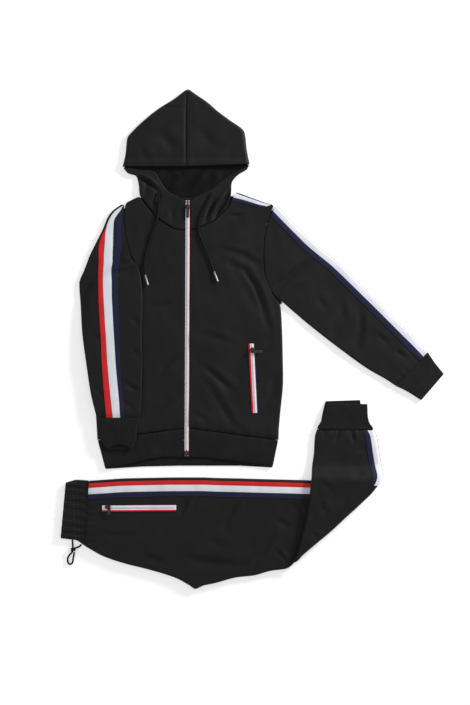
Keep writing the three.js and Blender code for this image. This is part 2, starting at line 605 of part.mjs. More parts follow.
// The hood's front ends: from the fold under the crown's edge down to the top of the zip.
const HOOD_FRONT_TOP = 7.6;
const HOOD_FRONT_FOLDS = [
  { x1: 60, y1: 522, x2: 90, y2: 566, rise: -1.4, width: 7 },
  { x1: 36, y1: 520, x2: 50, y2: 550, rise: -0.8, width: 6 },
  { x1: -74, y1: 546, x2: -56, y2: 572, rise: -0.9, width: 10 },
  { x1: -96, y1: 582, x2: -78, y2: 602, rise: -0.8, width: 9 },
  { x1: -36, y1: 504, x2: -28, y2: 548, rise: -0.8, width: 9 },
  { x1: 84, y1: 594, x2: 118, y2: 612, rise: -0.7, width: 8 },
];
const LEFT_HOOD_FRONT = [
  { ax: -137, ay: 621, bx: -122, by: 621, rollA: 3, rollB: 1 },
  { ax: -126, ay: 609, bx: -100, by: 617, rollA: 3, rollB: 2 },
  { ax: -110, ay: 604, bx: -80, by: 616, rollA: 3, rollB: 2 },
  { ax: -104, ay: 585, bx: -69, by: 612, rollA: 3, rollB: 2 },
  { ax: -102, ay: 563, bx: -60, by: 598, rollA: 3, rollB: 2 },
  { ax: -90, ay: 549, bx: -52, by: 586, rollA: 1, rollB: 2 },
  { ax: -76, ay: 531, bx: -43, by: 573, rollA: 1, rollB: 2 },
  { ax: -61, ay: 514, bx: -34, by: 567, rollA: 1, rollB: 2 },
  { ax: -43, ay: 502, bx: -24, by: 562, rollA: 1, rollB: 2 },
  { ax: -23, ay: 491, bx: -14, by: 556, rollA: 1, rollB: 2 },
  { ax: zipLeft(488) - 0.8, ay: 488, bx: zipLeft(552) - 0.8, by: 551, rollA: 1, rollB: 2 },
];
const RIGHT_HOOD_FRONT = [
  { ax: 134, ay: 626, bx: 120, by: 621, rollA: 3, rollB: 1 },
  { ax: 126, ay: 616, bx: 104, by: 611, rollA: 3, rollB: 2 },
  { ax: 110, ay: 606, bx: 84, by: 601, rollA: 3, rollB: 2 },
  { ax: 96, ay: 587, bx: 70, by: 591, rollA: 3, rollB: 2 },
  { ax: 95, ay: 566, bx: 58, by: 580, rollA: 3, rollB: 2 },
  { ax: 87, ay: 537.5, bx: 48, by: 573, rollA: 1, rollB: 2 },
  { ax: 72.5, ay: 523.5, bx: 38, by: 568, rollA: 1, rollB: 2 },
  { ax: 56.5, ay: 508.5, bx: 30, by: 564, rollA: 1, rollB: 2 },
  { ax: 43, ay: 501.5, bx: 22, by: 560, rollA: 1, rollB: 2 },
  { ax: 28, ay: 494.5, bx: 15, by: 557, rollA: 1, rollB: 2 },
  { ax: zipRight(488) + 0.8, ay: 488, bx: zipRight(552) + 0.8, by: 551, rollA: 1, rollB: 2 },
];
const hoodFront = {
  step: 40, count: 4,
  top: (x, y) => HOOD_FRONT_TOP + folds(HOOD_FRONT_FOLDS, x, y),
  foot: () => DOUBLE_CLOTH + SEAM,
};
const hoodLeftFront = { ...hoodFront, table: LEFT_HOOD_FRONT };
const hoodRightFront = { ...hoodFront, table: RIGHT_HOOD_FRONT };
add(jacket, "hood_left_front", cloth(panel, hoodLeftFront, DOUBLE_CLOTH), BLACK);
add(jacket, "hood_right_front", cloth(panel, hoodRightFront, DOUBLE_CLOTH), BLACK);

// Zips

// The two solids as one.
function solid(geometry) {
  const bare = geometry.clone();
  bare.deleteAttribute("normal");
  bare.deleteAttribute("uv");
  const merged = mergeVertices(bare, 1e-4);
  const triVerts = new Uint32Array(merged.index.array);
  const vertProperties = merged.attributes.position.array;
  return new wasm.Manifold(new wasm.Mesh({ numProp: 3, vertProperties, triVerts }));
}
function joined(first, second) {
  const mesh = solid(first).add(solid(second)).getMesh();
  const geometry = new THREE.BufferGeometry();
  geometry.setAttribute("position", new THREE.BufferAttribute(mesh.vertProperties, 3));
  geometry.setIndex(new THREE.BufferAttribute(mesh.triVerts, 1));
  geometry.computeVertexNormals();
  return geometry;
}

// A straight strip between two ends, lying at the given height.
function strip(from, to, width, low, high, steps) {
  const along = new THREE.Vector2(to[0] - from[0], to[1] - from[1]);
  const side = new THREE.Vector2(-along.y, along.x).setLength(width / 2);
  const rows = Array.from({ length: steps + 1 }, (_, i) => {
    const middle = new THREE.Vector2(...from).addScaledVector(along, i / steps);
    return [side.clone().negate(), side].map((o) => middle.clone().add(o));
  });
  const grid = (z) => facingUp(rows.map((row) => row.map((p) => new THREE.Vector3(p.x, p.y, z(p.x, p.y)))));
  return between(grid(high), grid(low), false);
}

const ZIP_TOP = 551;
const CHAIN_TOP = 536;
const CHAIN_HALF = 1.1;
const CHAIN_RISE = 7;
const ZIP_TAPE = { low: 5, high: 6.2, half: (ZIP_HALF - CHAIN_HALF - 2 * SEAM) / 2 };
const zipEnd = (side, y) => [zipAt(y) + side * (CHAIN_HALF + SEAM + ZIP_TAPE.half), y];
[["left", -1], ["right", 1]].forEach(([name, side]) => {
  const tape = strip(zipEnd(side, 1), zipEnd(side, ZIP_TOP), 2 * ZIP_TAPE.half,
    () => ZIP_TAPE.low, () => ZIP_TAPE.high, 1);
  add(jacket, `zip_tape_${name}`, tape, WHITE);
  const stop = new THREE.BoxGeometry(2.6, 4, 2);
  stop.translate(...zipEnd(side, ZIP_TOP - 3), ZIP_TAPE.high + SEAM + 1);
  add(jacket, `zip_top_stop_${name}`, stop, BRIGHT_METAL);
});
add(jacket, "zip_chain", strip([zipAt(14), 14], [zipAt(CHAIN_TOP), CHAIN_TOP], 2 * CHAIN_HALF,
  () => ZIP_TAPE.low, () => CHAIN_RISE, 1), WHITE);
const box = new THREE.BoxGeometry(2 * ZIP_HALF - 2, 10, 2.6);
box.translate(zipAt(7), 7, ZIP_TAPE.high + SEAM + 1.3);
add(jacket, "zip_bottom_box", box, DARK_METAL);

// A slider with a staple over its middle, and a pull tab whose eye goes round the
// staple's lower leg. Both lie in the zip's own frame: +Y up the zip, z = 0 on its teeth.
const SLIDER = { wide: 9, long: 12, thick: 2.2 };
const STAPLE = { leg: 3, bar: 1.2, wide: 2.4, inside: 2.6 };
const PULL = { wide: 6.4, long: 24, thick: 1.2, clear: 0.5, eye: 4, eyeTop: -1, eyeEnd: -6.6, top: 0.2 };

function sliderShape() {
  const [w, l] = [SLIDER.wide / 2, SLIDER.long / 2];
  const plate = new THREE.Shape();
  plate.moveTo(-w, 1);
  plate.quadraticCurveTo(-w, l, 0, l);
  plate.quadraticCurveTo(w, l, w, 1);
  plate.lineTo(w * 0.7, -l);
  plate.lineTo(-w * 0.7, -l);
  const body = new THREE.ExtrudeGeometry(plate, { depth: SLIDER.thick, bevelEnabled: false, curveSegments: 4 });
  const { leg, bar, wide, inside } = STAPLE;
  const [outer, inner] = [leg + bar / 2, leg - bar / 2];
  const side = new THREE.Shape();
  [[-outer, -1], [-inner, -1], [-inner, inside], [inner, inside], [inner, -1], [outer, -1],
    [outer, inside + bar * 0.6], [inner, inside + bar], [-inner, inside + bar], [-outer, inside + bar * 0.6]]
    .forEach(([y, z], i) => (i ? side.lineTo(y, z) : side.moveTo(y, z)));
  const staple = new THREE.ExtrudeGeometry(side, { depth: wide, bevelEnabled: false });
  staple.rotateX(Math.PI / 2);
  staple.rotateZ(Math.PI / 2);
  staple.translate(-wide / 2, 0, SLIDER.thick);
  return joined(body, staple);
}

function pullShape(long) {
  const w = PULL.wide / 2;
  const tab = new THREE.Shape();
  tab.moveTo(-w, PULL.top);
  tab.lineTo(-w, -long + w);
  tab.absarc(0, -long + w, w, Math.PI, 2 * Math.PI);
  tab.lineTo(w, PULL.top);
  const eye = new THREE.Path();
  const e = PULL.eye / 2;
  [[-e, PULL.eyeTop], [e, PULL.eyeTop], [e, PULL.eyeEnd], [-e, PULL.eyeEnd]]
    .forEach(([x, y], i) => (i ? eye.lineTo(x, y) : eye.moveTo(x, y)));
  tab.holes.push(eye);
  const geometry = new THREE.ExtrudeGeometry(tab, { depth: PULL.thick, bevelEnabled: false, curveSegments: 6 });
  geometry.translate(0, 0, SLIDER.thick + PULL.clear);
  return geometry;
}

// Slider and pull at a place on a zip; the pull turns about the staple's lower leg.
function addSlider(group, name, at, zipTurn, pullTurn, long) {
  const frame = new THREE.Group();
  frame.position.set(...at);
  frame.rotation.z = zipTurn;
  group.add(frame);
  add(frame, `${name}_slider`, sliderShape(), DARK_METAL);
  const swing = new THREE.Group();
  swing.position.set(0, -STAPLE.leg, 0);
  swing.rotation.z = pullTurn;
  frame.add(swing);
  const pull = pullShape(long);
  pull.translate(0, STAPLE.leg, 0);
  add(swing, `${name}_pull`, pull, DARK_METAL);
}
const ZIP_SLIDER_Y = 537;
addSlider(jacket, "zip", [zipAt(ZIP_SLIDER_Y), ZIP_SLIDER_Y, CHAIN_RISE + SEAM], 0, 0, PULL.long);

// Pocket zip on the right front: striped tape set in the cloth, slider at its upper end.
const POCKET_ZIP = { from: [147, 94], to: [139.5, 243], width: 14.5, thick: 1, lift: 0.5 };
const onFront = (lift) => (x, y) => frontTop(x, y) + lift;
add(jacket, "jacket_pocket_zip", strip(POCKET_ZIP.from, POCKET_ZIP.to, POCKET_ZIP.width,
  onFront(POCKET_ZIP.lift), onFront(POCKET_ZIP.lift + POCKET_ZIP.thick), 6), WHITE);
const POCKET_LEAN = Math.atan2(7.5, 149);
const pocketSliderLow = frontTop(140, 229) + POCKET_ZIP.lift + POCKET_ZIP.thick + 0.5;
addSlider(jacket, "jacket_pocket", [140.5, 229, pocketSliderLow], POCKET_LEAN, Math.PI / 2 - POCKET_LEAN, 25);

// Cords

const circle = (radius, sides) => new THREE.Shape(
  Array.from({ length: sides }, (_, i) => {
    const t = (2 * Math.PI * i) / sides;
    return new THREE.Vector2(radius * Math.cos(t), radius * Math.sin(t));
  }),
);
function cord(route, radius, steps) {
  const path = new THREE.CatmullRomCurve3(route.map((p) => new THREE.Vector3(...p)));
  return new THREE.ExtrudeGeometry(circle(radius, 8), { steps, extrudePath: path });
}

// The hood's drawcords, from the hood's edge down over the fronts.
const CORD = 2;
const ON_HOOD = HOOD_FRONT_TOP + 0.5 + CORD;
const ON_FRONT = JACKET_TOP + 0.5 + CORD;
const LEFT_CORD = [
  [-60, 568, ON_HOOD], [-61, 545, ON_HOOD], [-62, 525, ON_HOOD], [-65, 507, ON_FRONT + 0.5], [-71, 490, ON_FRONT],
  [-77, 475, ON_FRONT], [-81, 461, ON_FRONT], [-86, 446, ON_FRONT], [-89, 432, ON_FRONT], [-91, 418, ON_FRONT],
  [-91, 405, ON_FRONT], [-90, 391, ON_FRONT],
];
const RIGHT_CORD = [
  [53, 566, ON_HOOD], [46, 551, ON_HOOD], [38, 537, ON_HOOD], [31, 523, ON_HOOD], [27, 509, ON_HOOD],
  [25, 497, ON_HOOD], [25, 484, ON_FRONT + 0.4], [28, 474, ON_FRONT], [33, 463, ON_FRONT], [39, 450, ON_FRONT],
  [44, 438, ON_FRONT], [49, 424, ON_FRONT], [53, 411, ON_FRONT], [58, 398, ON_FRONT],
];
const AGLET = { radius: 2.6, long: 23 };
[["left", LEFT_CORD, [-83, 366]], ["right", RIGHT_CORD, [68, 372]]].forEach(([name, route, tip]) => {
  add(jacket, `hood_cord_${name}`, cord(route, CORD, 26), BLACK);
  const end = route[route.length - 1];
  const way = new THREE.Vector3(tip[0] - end[0], tip[1] - end[1], 0).normalize();
  const from = new THREE.Vector3(...end).addScaledVector(way, 2 * SEAM);
  const to = from.clone().addScaledVector(way, AGLET.long);
  from.z += AGLET.radius - CORD;
  to.z = from.z;
  const metal = new THREE.ExtrudeGeometry(circle(AGLET.radius, 12), {
    steps: 1, extrudePath: new THREE.LineCurve3(from, to),
  });
  add(jacket, `hood_cord_${name}_end`, metal, BRIGHT_METAL);
});

// Trousers: on their side, one leg on the other, both folded back at the knee.

const trousers = new THREE.Group();
trousers.position.set(...TROUSERS_AT, 0);
set.add(trousers);

// The leg that shows: from the fold that carries the tape (a) to the lower edge (b).
const THIGH = [
  { ax: -0.5, ay: 142, bx: -9, by: 1 },
  { ax: 30, ay: 144, bx: 31, by: -21 },
  { ax: 78, ay: 147, bx: 79, by: -37 },
  { ax: 127, ay: 148, bx: 127, by: -49 },
  { ax: 184, ay: 149, bx: 185, by: -67 },
  { ax: 214, ay: 149, bx: 215, by: -83 },
  { ax: 228, ay: 149, bx: 228, by: -91 },
  { ax: 244, ay: 149, bx: 244, by: -84 },
  { ax: 268, ay: 148, bx: 268, by: -79 },
  { ax: 317, ay: 147, bx: 317, by: -66 },
  { ax: 353, ay: 146, bx: 353, by: -62 },
  { ax: 390, ay: 145, bx: 390, by: -52 },
  { ax: 430, ay: 144, bx: 424, by: -47 },
  { ax: 490, ay: 142, bx: 456, by: -14 },
];
THIGH.forEach((row) => Object.assign(row, { red: 2.5, white: 15, navy: 29, end: 40 }));
const THIGH_FOLDS = [
  { x1: 214, y1: 104, x2: 194, y2: 69, rise: -1.2, width: 8 },
  { x1: 317, y1: 90, x2: 285, y2: 43, rise: -1.2, width: 9 },
  { x1: 396, y1: 20, x2: 350, y2: -36, rise: -1.3, width: 9 },
  { x1: 205, y1: -30, x2: 330, y2: -35, rise: -1.2, width: 14 },
  { x1: 405, y1: -25, x2: 435, y2: -30, rise: 1.6, width: 12 },
  { x1: 60, y1: 0, x2: 330, y2: 10, rise: 0.8, width: 30 },
];
const thighTop = (x, y) => LEG_TOP + folds(THIGH_FOLDS, x, y);
const LEG_ROLL = 5;
const thigh = {
  table: THIGH,
  step: 42,
  rollA: LEG_ROLL,
  rollB: LEG_ROLL,
  marks: ["red", "white", "navy", "end"],
  count: 6,
  top: thighTop,
  foot: () => LEG_CORE + SEAM,
};
add(trousers, "leg", cloth(panel, thigh, CLOTH), BLACK);
const onThigh = panel(thigh);
const wholeLength = { wrap: false, rows: [0] };
add(trousers, "leg_red", tapeOn(onThigh, 4, 5, wholeLength), RED);
add(trousers, "leg_white", tapeOn(onThigh, 5, 6, wholeLength), WHITE);
add(trousers, "leg_navy", tapeOn(onThigh, 6, 7, wholeLength), NAVY);

// A closed solid from rings, its two ends filled across.
function closedRings(rings) {
  const [rows, columns] = [rings.length, rings[0].length];
  const points = rings.flat();
  const index = [];
  const id = (i, j) => i * columns + (j % columns);
  for (let i = 0; i < rows - 1; i += 1) {
    for (let j = 0; j < columns; j += 1) {
      index.push(id(i, j), id(i, j + 1), id(i + 1, j + 1), id(i, j), id(i + 1, j + 1), id(i + 1, j));
    }
  }
  const top = (columns + 2) / 2; // columns over the top; the rest run back underneath
  const across = (i, flip) => {
    for (let j = 0; j < top - 1; j += 1) {
      const [a, b] = [j, j + 1];
      const [c, d] = [(columns - j - 1) % columns, (columns - j) % columns];
      const faces = j === 0 ? [[a, b, c]] : [[a, b, c], [a, c, d]];
      faces.filter((f) => new Set(f).size === 3).forEach(([x, y, z]) => {
        index.push(...(flip ? [id(i, z), id(i, y), id(i, x)] : [id(i, x), id(i, y), id(i, z)]));
      });
    }
  };
  across(0, true);
  across(rows - 1, false);
  const geometry = new THREE.BufferGeometry();
  const positions = points.flatMap((p) => p.toArray());
  geometry.setAttribute("position", new THREE.Float32BufferAttribute(positions, 3));
  geometry.setIndex(index);
  geometry.computeVertexNormals();
  return geometry;
}

// The hidden layers: a rounded slab under the leg, out to the fold, and one in the shin.
const LEG_END = { x: 490, y: 142, lean: 0.22 }; // where the leg that shows passes under the shin
const THIGH_CORE = [
  ...THIGH.map(({ ax, ay, bx, by }) => ({ ax: ax + 1, ay, bx: bx + 1, by })),
  { ax: 503, ay: 141, bx: 468, by: -2 },
  { ax: 560, ay: 141, bx: 524, by: 46 },
  { ax: 600, ay: 141, bx: 588, by: 107 },
];
const beyondLeg = (x, y) => x - LEG_END.x + LEG_END.lean * (LEG_END.y - y);
const hiddenLegTop = (x, y) => LEG_CORE + (LEG_TOP - LEG_CORE) * ease(3, 11, beyondLeg(x, y));
const hiddenLeg = tube({
  table: THIGH_CORE,
  step: 60,
  rollA: LEG_CORE / 2,
  rollB: LEG_CORE / 2,
  count: 4,
  top: hiddenLegTop,
  under: onSurface,
});
add(trousers, "hidden_leg", closedRings(hiddenLeg), BLACK);

// Shin: over the leg as far as its top fold, then down to the surface beyond it. From the
// edge with the tape, which runs on into the fold at the knee (a), to the other edge (b).
const SHIN_DROP = [143, 180];
const shinUnder = (x, y) => (LEG_TOP + 1.5) * (1 - ease(...SHIN_DROP, y));
const SHIN = [
  { ax: 612, ay: 251, bx: 490, by: 253 },
  { ax: 618, ay: 237, bx: 485, by: 236 },
  { ax: 623, ay: 205, bx: 483, by: 202 },
  { ax: 628, ay: 175, bx: 479, by: 172 },
  { ax: 632, ay: 154, bx: 477, by: 145 },
  { ax: 613, ay: 121, bx: 474, by: 118 },
  { ax: 584, ay: 92, bx: 470, by: 88 },
  { ax: 549, ay: 60, bx: 465, by: 58 },
  { ax: 520, ay: 33, bx: 459, by: 32 },
  { ax: 490, ay: 8, bx: 453, by: 8 },
  { ax: 462, ay: -16, bx: 445, by: -16 },
  { ax: 446, ay: -31, bx: 439, by: -32 },
];
SHIN.forEach((row) => Object.assign(row, { white: 1.5, navy: 14, end: 25 }));
const SHIN_FOLDS = [
  { x1: 545, y1: 248, x2: 528, y2: 222, rise: -1.6, width: 5 },
  { x1: 566, y1: 246, x2: 570, y2: 226, rise: -1.6, width: 5 },
  { x1: 498, y1: 190, x2: 482, y2: 60, rise: -1.0, width: 10 },
  { x1: 560, y1: 180, x2: 520, y2: 70, rise: 1.0, width: 30 },
];
const SHIN_CORE = SHIN.slice(0, 10).map(({ ax, ay, bx, by }) => ({ ax: ax - 12, ay, bx: bx + 2.2, by }));
const hiddenShin = tube({
  table: SHIN_CORE, step: 40, rollA: LEG_CORE / 2, rollB: LEG_CORE / 2, count: 3,
  top: (x, y) => shinUnder(x, y) + LEG_CORE, under: shinUnder,
});
add(trousers, "hidden_shin", closedRings(hiddenShin), BLACK);
const SHIN_STEP = 34;
const shinFoot = (x, y, place) => (place < 0.5 && beyondLeg(x, y) > 0 ? 0 : shinUnder(x, y) + 1.5);
const shin = {
  table: SHIN, step: SHIN_STEP, rollA: 6, rollB: 3, marks: ["navy", "end"], count: 4,
  top: (x, y) => shinUnder(x, y) + LEG_TOP + folds(SHIN_FOLDS, x, y), foot: shinFoot,
};
add(trousers, "shin", cloth(panel, shin, CLOTH), BLACK);
const shinFace = panel(shin);
const onShin = { wrap: false, rows: [0, sections(SHIN.slice(0, 5), SHIN_STEP).length] };
add(trousers, "shin_red", tapeOn(shinFace, 0, 1, onShin), RED);
add(trousers, "shin_white", tapeOn(shinFace, 1, 4, onShin), WHITE);
add(trousers, "shin_navy", tapeOn(shinFace, 4, 5, onShin), NAVY);

// Cuffs: the one that shows, and the hidden leg's under it, pushed a little further out.
const CUFF = [
  { ax: 611, ay: 251.7, bx: 490, by: 253.7 },
  { ax: 610.3, ay: 255.7, bx: 490.7, by: 257.7 },
  { ax: 603, ay: 266, bx: 497, by: 268 },
  { ax: 599, ay: 282, bx: 503, by: 284 },
  { ax: 598, ay: 307, bx: 512, by: 309 },
];
const HIDDEN_CUFF = [
  { ax: 592, ay: 252, bx: 496, by: 254 },
  { ax: 586, ay: 282, bx: 501, by: 284 },
  { ax: 583, ay: 315.5, bx: 508, by: 313 },
];
const cuffLow = LEG_CORE + SEAM;
const cuffTop = () => cuffLow + SLEEVE_THICK - 1;
const trouserCuff = { table: CUFF, step: 20, rollA: 3, rollB: 3, count: 6, top: cuffTop, under: () => cuffLow };
add(trousers, "cuff", cloth(tube, trouserCuff, RIB), RIB_BLACK);
add(trousers, "hidden_cuff", closedRings(tube({
  table: HIDDEN_CUFF, step: 40, rollA: 2.6, rollB: 2.6, count: 3, top: () => LEG_CORE, under: onSurface,
})), RIB_BLACK);

// Waistband: a flattened ring open on the left, its cloth gathered by the elastic.
const WAISTBAND = [
  { ax: -51, ay: 138, bx: -62, by: 18 },
  { ax: -44, ay: 140, bx: -46, by: 16 },
  { ax: -27, ay: 144, bx: -30, by: 14 },
  { ax: -1.2, ay: 142.5, bx: -9.8, by: 1.5 },
];
const GATHERS = 9;
const GATHER_RISE = 0.7;
const WAIST_SEAM = 140; // length of the seam that the gathers are spread along
const gather = (x, y) => {
  const share = (y + 0.12 * x) / WAIST_SEAM;
  return GATHER_RISE * Math.sin(2 * Math.PI * GATHERS * share + 1.5 * Math.sin(y / 23));
};
add(trousers, "waistband", cloth(tube, {
  table: WAISTBAND, step: 24, rollA: 4, rollB: 4, count: 30,
  top: (x, y) => BAND_THICK + gather(x, y), under: onSurface,
}, WAIST), BLACK);

// Pocket zip on the leg, its pull hanging across it.
const LEG_ZIP = { from: [187, 85], to: [28, 84], width: 15, thick: 1, lift: 0.5 };
const onLeg = (lift) => (x, y) => thighTop(x, y) + lift;
add(trousers, "leg_pocket_zip", strip(LEG_ZIP.from, LEG_ZIP.to, LEG_ZIP.width,
  onLeg(LEG_ZIP.lift), onLeg(LEG_ZIP.lift + LEG_ZIP.thick), 6), WHITE);
const legSliderLow = LEG_TOP + LEG_ZIP.lift + LEG_ZIP.thick + 0.5;
addSlider(trousers, "leg_pocket", [40, 86, legSliderLow], Math.PI / 2, -Math.PI / 2, 20);

// Waist drawcord: out under the band in two places, through a knot, and round in a loop.
const WAIST_CORD = 1.9;
const LIE = WAIST_CORD + 0.1;
const WAIST_ROUTES = {
  waist_cord_left: [[-37, 14.4, LIE], [-36.5, 7, LIE], [-36, 0.8, LIE]],
  waist_cord_right: [[-17.8, 4.2, LIE], [-22, -1, LIE], [-29.3, -4.2, LIE]],
  waist_cord_loop: [[-37.6, -11.9, LIE], [-43, -18, LIE], [-47, -26, LIE], [-46, -35, LIE], [-41, -38, LIE],
    [-36.5, -34, LIE], [-35.5, -25, LIE], [-34, -18, LIE], [-33.2, -11.9, LIE]],
};
for (const [name, route] of Object.entries(WAIST_ROUTES)) {
  add(trousers, name, cord(route, WAIST_CORD, 2 * route.length), BLACK);
}
const KNOT = { at: [-35, -5.5, 4.2], size: [5.6, 6, 4.1] };
const knot = new THREE.SphereGeometry(1, 12, 8);
knot.scale(...KNOT.size);
knot.translate(...KNOT.at);
add(trousers, "waist_knot", knot, BLACK);

export default set;
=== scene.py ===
# Looks for a child's zip-up hooded jacket and matching trousers, laid flat and seen from above.
# Tables are in millimetres. The jacket's are measured from the foot of its zip and the
# trousers' from the lower end of their waist seam, as in the solid model.

import math

import bmesh
import bpy
import mathutils
import numpy as np
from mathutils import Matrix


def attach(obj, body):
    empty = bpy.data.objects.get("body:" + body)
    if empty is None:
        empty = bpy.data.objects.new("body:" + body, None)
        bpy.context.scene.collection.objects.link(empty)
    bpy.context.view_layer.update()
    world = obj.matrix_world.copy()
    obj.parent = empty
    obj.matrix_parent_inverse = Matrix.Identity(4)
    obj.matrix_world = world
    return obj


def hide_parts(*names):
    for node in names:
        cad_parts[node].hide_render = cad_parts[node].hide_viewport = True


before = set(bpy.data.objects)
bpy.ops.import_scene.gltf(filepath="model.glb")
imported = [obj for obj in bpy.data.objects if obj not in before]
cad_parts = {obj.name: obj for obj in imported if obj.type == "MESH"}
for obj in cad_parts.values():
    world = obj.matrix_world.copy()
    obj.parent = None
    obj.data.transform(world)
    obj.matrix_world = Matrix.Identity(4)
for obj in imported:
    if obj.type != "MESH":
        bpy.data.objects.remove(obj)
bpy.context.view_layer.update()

BODY = "garments"
MM = 0.001
JACKET_AT = np.array([-140.5, -252.5, 0.0])
TROUSERS_AT = np.array([-350.5, -446.5, 0.0])

# Camera, straight above, framed as the photograph
VIEW_MIDDLE = (-0.0372, -0.0286)
VIEW_HEIGHT = 1.51575
LENS = 85
SENSOR = 36
scene = bpy.context.scene
camera_data = bpy.data.cameras.new("camera")
camera_data.lens = LENS
camera_data.sensor_width = SENSOR
camera = bpy.data.objects.new("camera", camera_data)
camera.location = (*VIEW_MIDDLE, VIEW_HEIGHT * LENS / SENSOR + 0.008)
scene.collection.objects.link(camera)
scene.camera = camera


# Interpolation

def ease(low, high, x):
    t = np.clip((np.asarray(x, float) - low) / (high - low), 0, 1)
    return t * t * (3 - 2 * t)


def slopes(at, values):
    rise = np.diff(values) / np.diff(at)
    out = np.empty(len(values))
    out[0] = rise[0]
    out[-1] = rise[-1]
    for i in range(1, len(values) - 1):
        a, b = rise[i - 1], rise[i]
        out[i] = 0 if a * b <= 0 else 2 * a * b / (a + b)
    return out


class Line:
    """A table's columns as smooth functions of how far along its rows we are, 0 to 1."""

    def __init__(self, table):
        self.table = table
        at = [0.0]
        for p, q in zip(table, table[1:]):
            left = math.hypot(q["ax"] - p["ax"], q["ay"] - p["ay"])
            right = math.hypot(q["bx"] - p["bx"], q["by"] - p["by"])
            at.append(at[-1] + (left + right) / 2)
        self.at = np.array(at)
        self.length = at[-1]
        self.names = list(table[0])
        self.columns = {n: np.array([row[n] for row in table], float) for n in self.names}
        self.tangents = {n: slopes(self.at, c) for n, c in self.columns.items()}

    def value(self, where):
        where = np.asarray(where, float)
        i = np.clip(np.searchsorted(self.at, where, side="left") - 1, 0, len(self.at) - 2)
        h = self.at[i + 1] - self.at[i]
        u = (where - self.at[i]) / h
        out = {}
        for n in self.names:
            v, m = self.columns[n], self.tangents[n]
            out[n] = (
                v[i] * (1 + 2 * u) * (1 - u) ** 2 + v[i + 1] * u * u * (3 - 2 * u)
                + m[i] * h * u * (1 - u) ** 2 + m[i + 1] * h * u * u * (u - 1)
            )
        return out

    def rows(self, step):
        places = []
        for a, b in zip(self.at, self.at[1:]):
            n = max(1, round((b - a) / step))
            places.extend(np.linspace(a, b, n, endpoint=False))
        places.append(self.length)
        near = [0.25, 0.6, 1.1, 1.8]
        places.extend(near)
        places.extend([self.length - d for d in near])
        return np.array(sorted(set(np.round(places, 3))))


def inside_of(outline, x, y):
    """Distance to an open outline, positive on its left-hand side."""
    best = np.full(np.shape(x), np.inf)
    side = np.ones(np.shape(x))
    for a, b in zip(outline, outline[1:]):
        dx, dy = b[0] - a[0], b[1] - a[1]
        u = np.clip(((x - a[0]) * dx + (y - a[1]) * dy) / (dx * dx + dy * dy), 0, 1)
        ox, oy = x - a[0] - u * dx, y - a[1] - u * dy
        d = np.hypot(ox, oy)
        nearer = d < best
        best = np.where(nearer, d, best)
        side = np.where(nearer, np.where(dx * oy - dy * ox > 0, 1, -1), side)
    return best * side


def folds(table, x, y):
    """The large folds that the solids have too."""
    total = np.zeros(np.shape(x))
    for x1, y1, x2, y2, rise, width in table:
        dx, dy = x2 - x1, y2 - y1
        u = np.clip(((x - x1) * dx + (y - y1) * dy) / (dx * dx + dy * dy), 0, 1)
        d = np.hypot(x - x1 - u * dx, y - y1 - u * dy)
        total += rise * np.exp(-((d / width) ** 2)) * np.sin(np.pi * (0.12 + 0.76 * u))
    return total


RELIEF = 2.6


def creases(table, x, y):
    """Finer creases along short lines of points: a soft trough with a low ridge on its left."""
    total = np.zeros(np.shape(x))
    for points, depth, width in table:
        lengths = [math.dist(p, q) for p, q in zip(points, points[1:])]
        whole = sum(lengths)
        best = np.full(np.shape(x), np.inf)
        signed = np.zeros(np.shape(x))
        along = np.zeros(np.shape(x))
        run = 0.0
        for (p, q), length in zip(zip(points, points[1:]), lengths):
            dx, dy = q[0] - p[0], q[1] - p[1]
            u = np.clip(((x - p[0]) * dx + (y - p[1]) * dy) / (length * length), 0, 1)
            ox, oy = x - p[0] - u * dx, y - p[1] - u * dy
            d = np.hypot(ox, oy)
            nearer = d < best
            best = np.where(nearer, d, best)
            signed = np.where(nearer, d * np.sign(dx * oy - dy * ox), signed)
            along = np.where(nearer, (run + u * length) / whole, along)
            run += length
        fade = np.sin(np.pi * (0.06 + 0.88 * along)) ** 0.8
        trough = np.exp(-((best / width) ** 2))
        ridge = np.exp(-(((signed - 1.5 * width) / (1.2 * width)) ** 2))
        total += fade * RELIEF * depth * (0.55 * ridge - trough)
    return total


WAVES = [
    (0.043, 0.021, 0.4), (-0.027, 0.051, 2.1), (0.061, -0.034, 4.4), (0.018, 0.077, 1.3),
    (-0.083, 0.012, 5.2),
]
WAVE_HEIGHT = 0.26


def unevenness(x, y, size=1.0, seed=0.0):
    """Low, soft unevenness that cloth has wherever it lies."""
    total = np.zeros(np.shape(x))
    for kx, ky, phase in WAVES:
        total += np.sin(kx * x + ky * y + phase + seed)
        total += 0.35 * np.sin(2.9 * kx * x - 2.6 * ky * y + 2 * phase + seed * 1.7)
    return size * WAVE_HEIGHT * total


# Grids of cloth

ARC = np.radians(np.linspace(0, 90, 9))


class Surface:
    """Points of a cloth's outer face: rows along it, columns across it, with named columns."""

    def __init__(self, points, where, marks, wrap=False):
        self.points = points
        self.where = where
        self.marks = marks
        self.wrap = wrap
        self.normals = self.find_normals()

    def find_normals(self):
        p = self.points
        along = np.empty_like(p)
        along[1:-1] = p[2:] - p[:-2]
        along[0] = p[1] - p[0]
        along[-1] = p[-1] - p[-2]
        across = np.empty_like(p)
        if self.wrap:
            across = np.roll(p, -1, axis=1) - np.roll(p, 1, axis=1)
        else:
            across[:, 1:-1] = p[:, 2:] - p[:, :-2]
            across[:, 0] = p[:, 1] - p[:, 0]
            across[:, -1] = p[:, -1] - p[:, -2]
        n = np.cross(across, along)
        return n / np.maximum(np.linalg.norm(n, axis=2, keepdims=True), 1e-9)

    def facing_up(self):
        i = len(self.points) // 2
        j = self.points.shape[1] // 4
        if self.normals[i, j, 2] < 0:
            return Surface(self.points[::-1].copy(), self.where[::-1].copy(), self.marks, self.wrap)
        return self


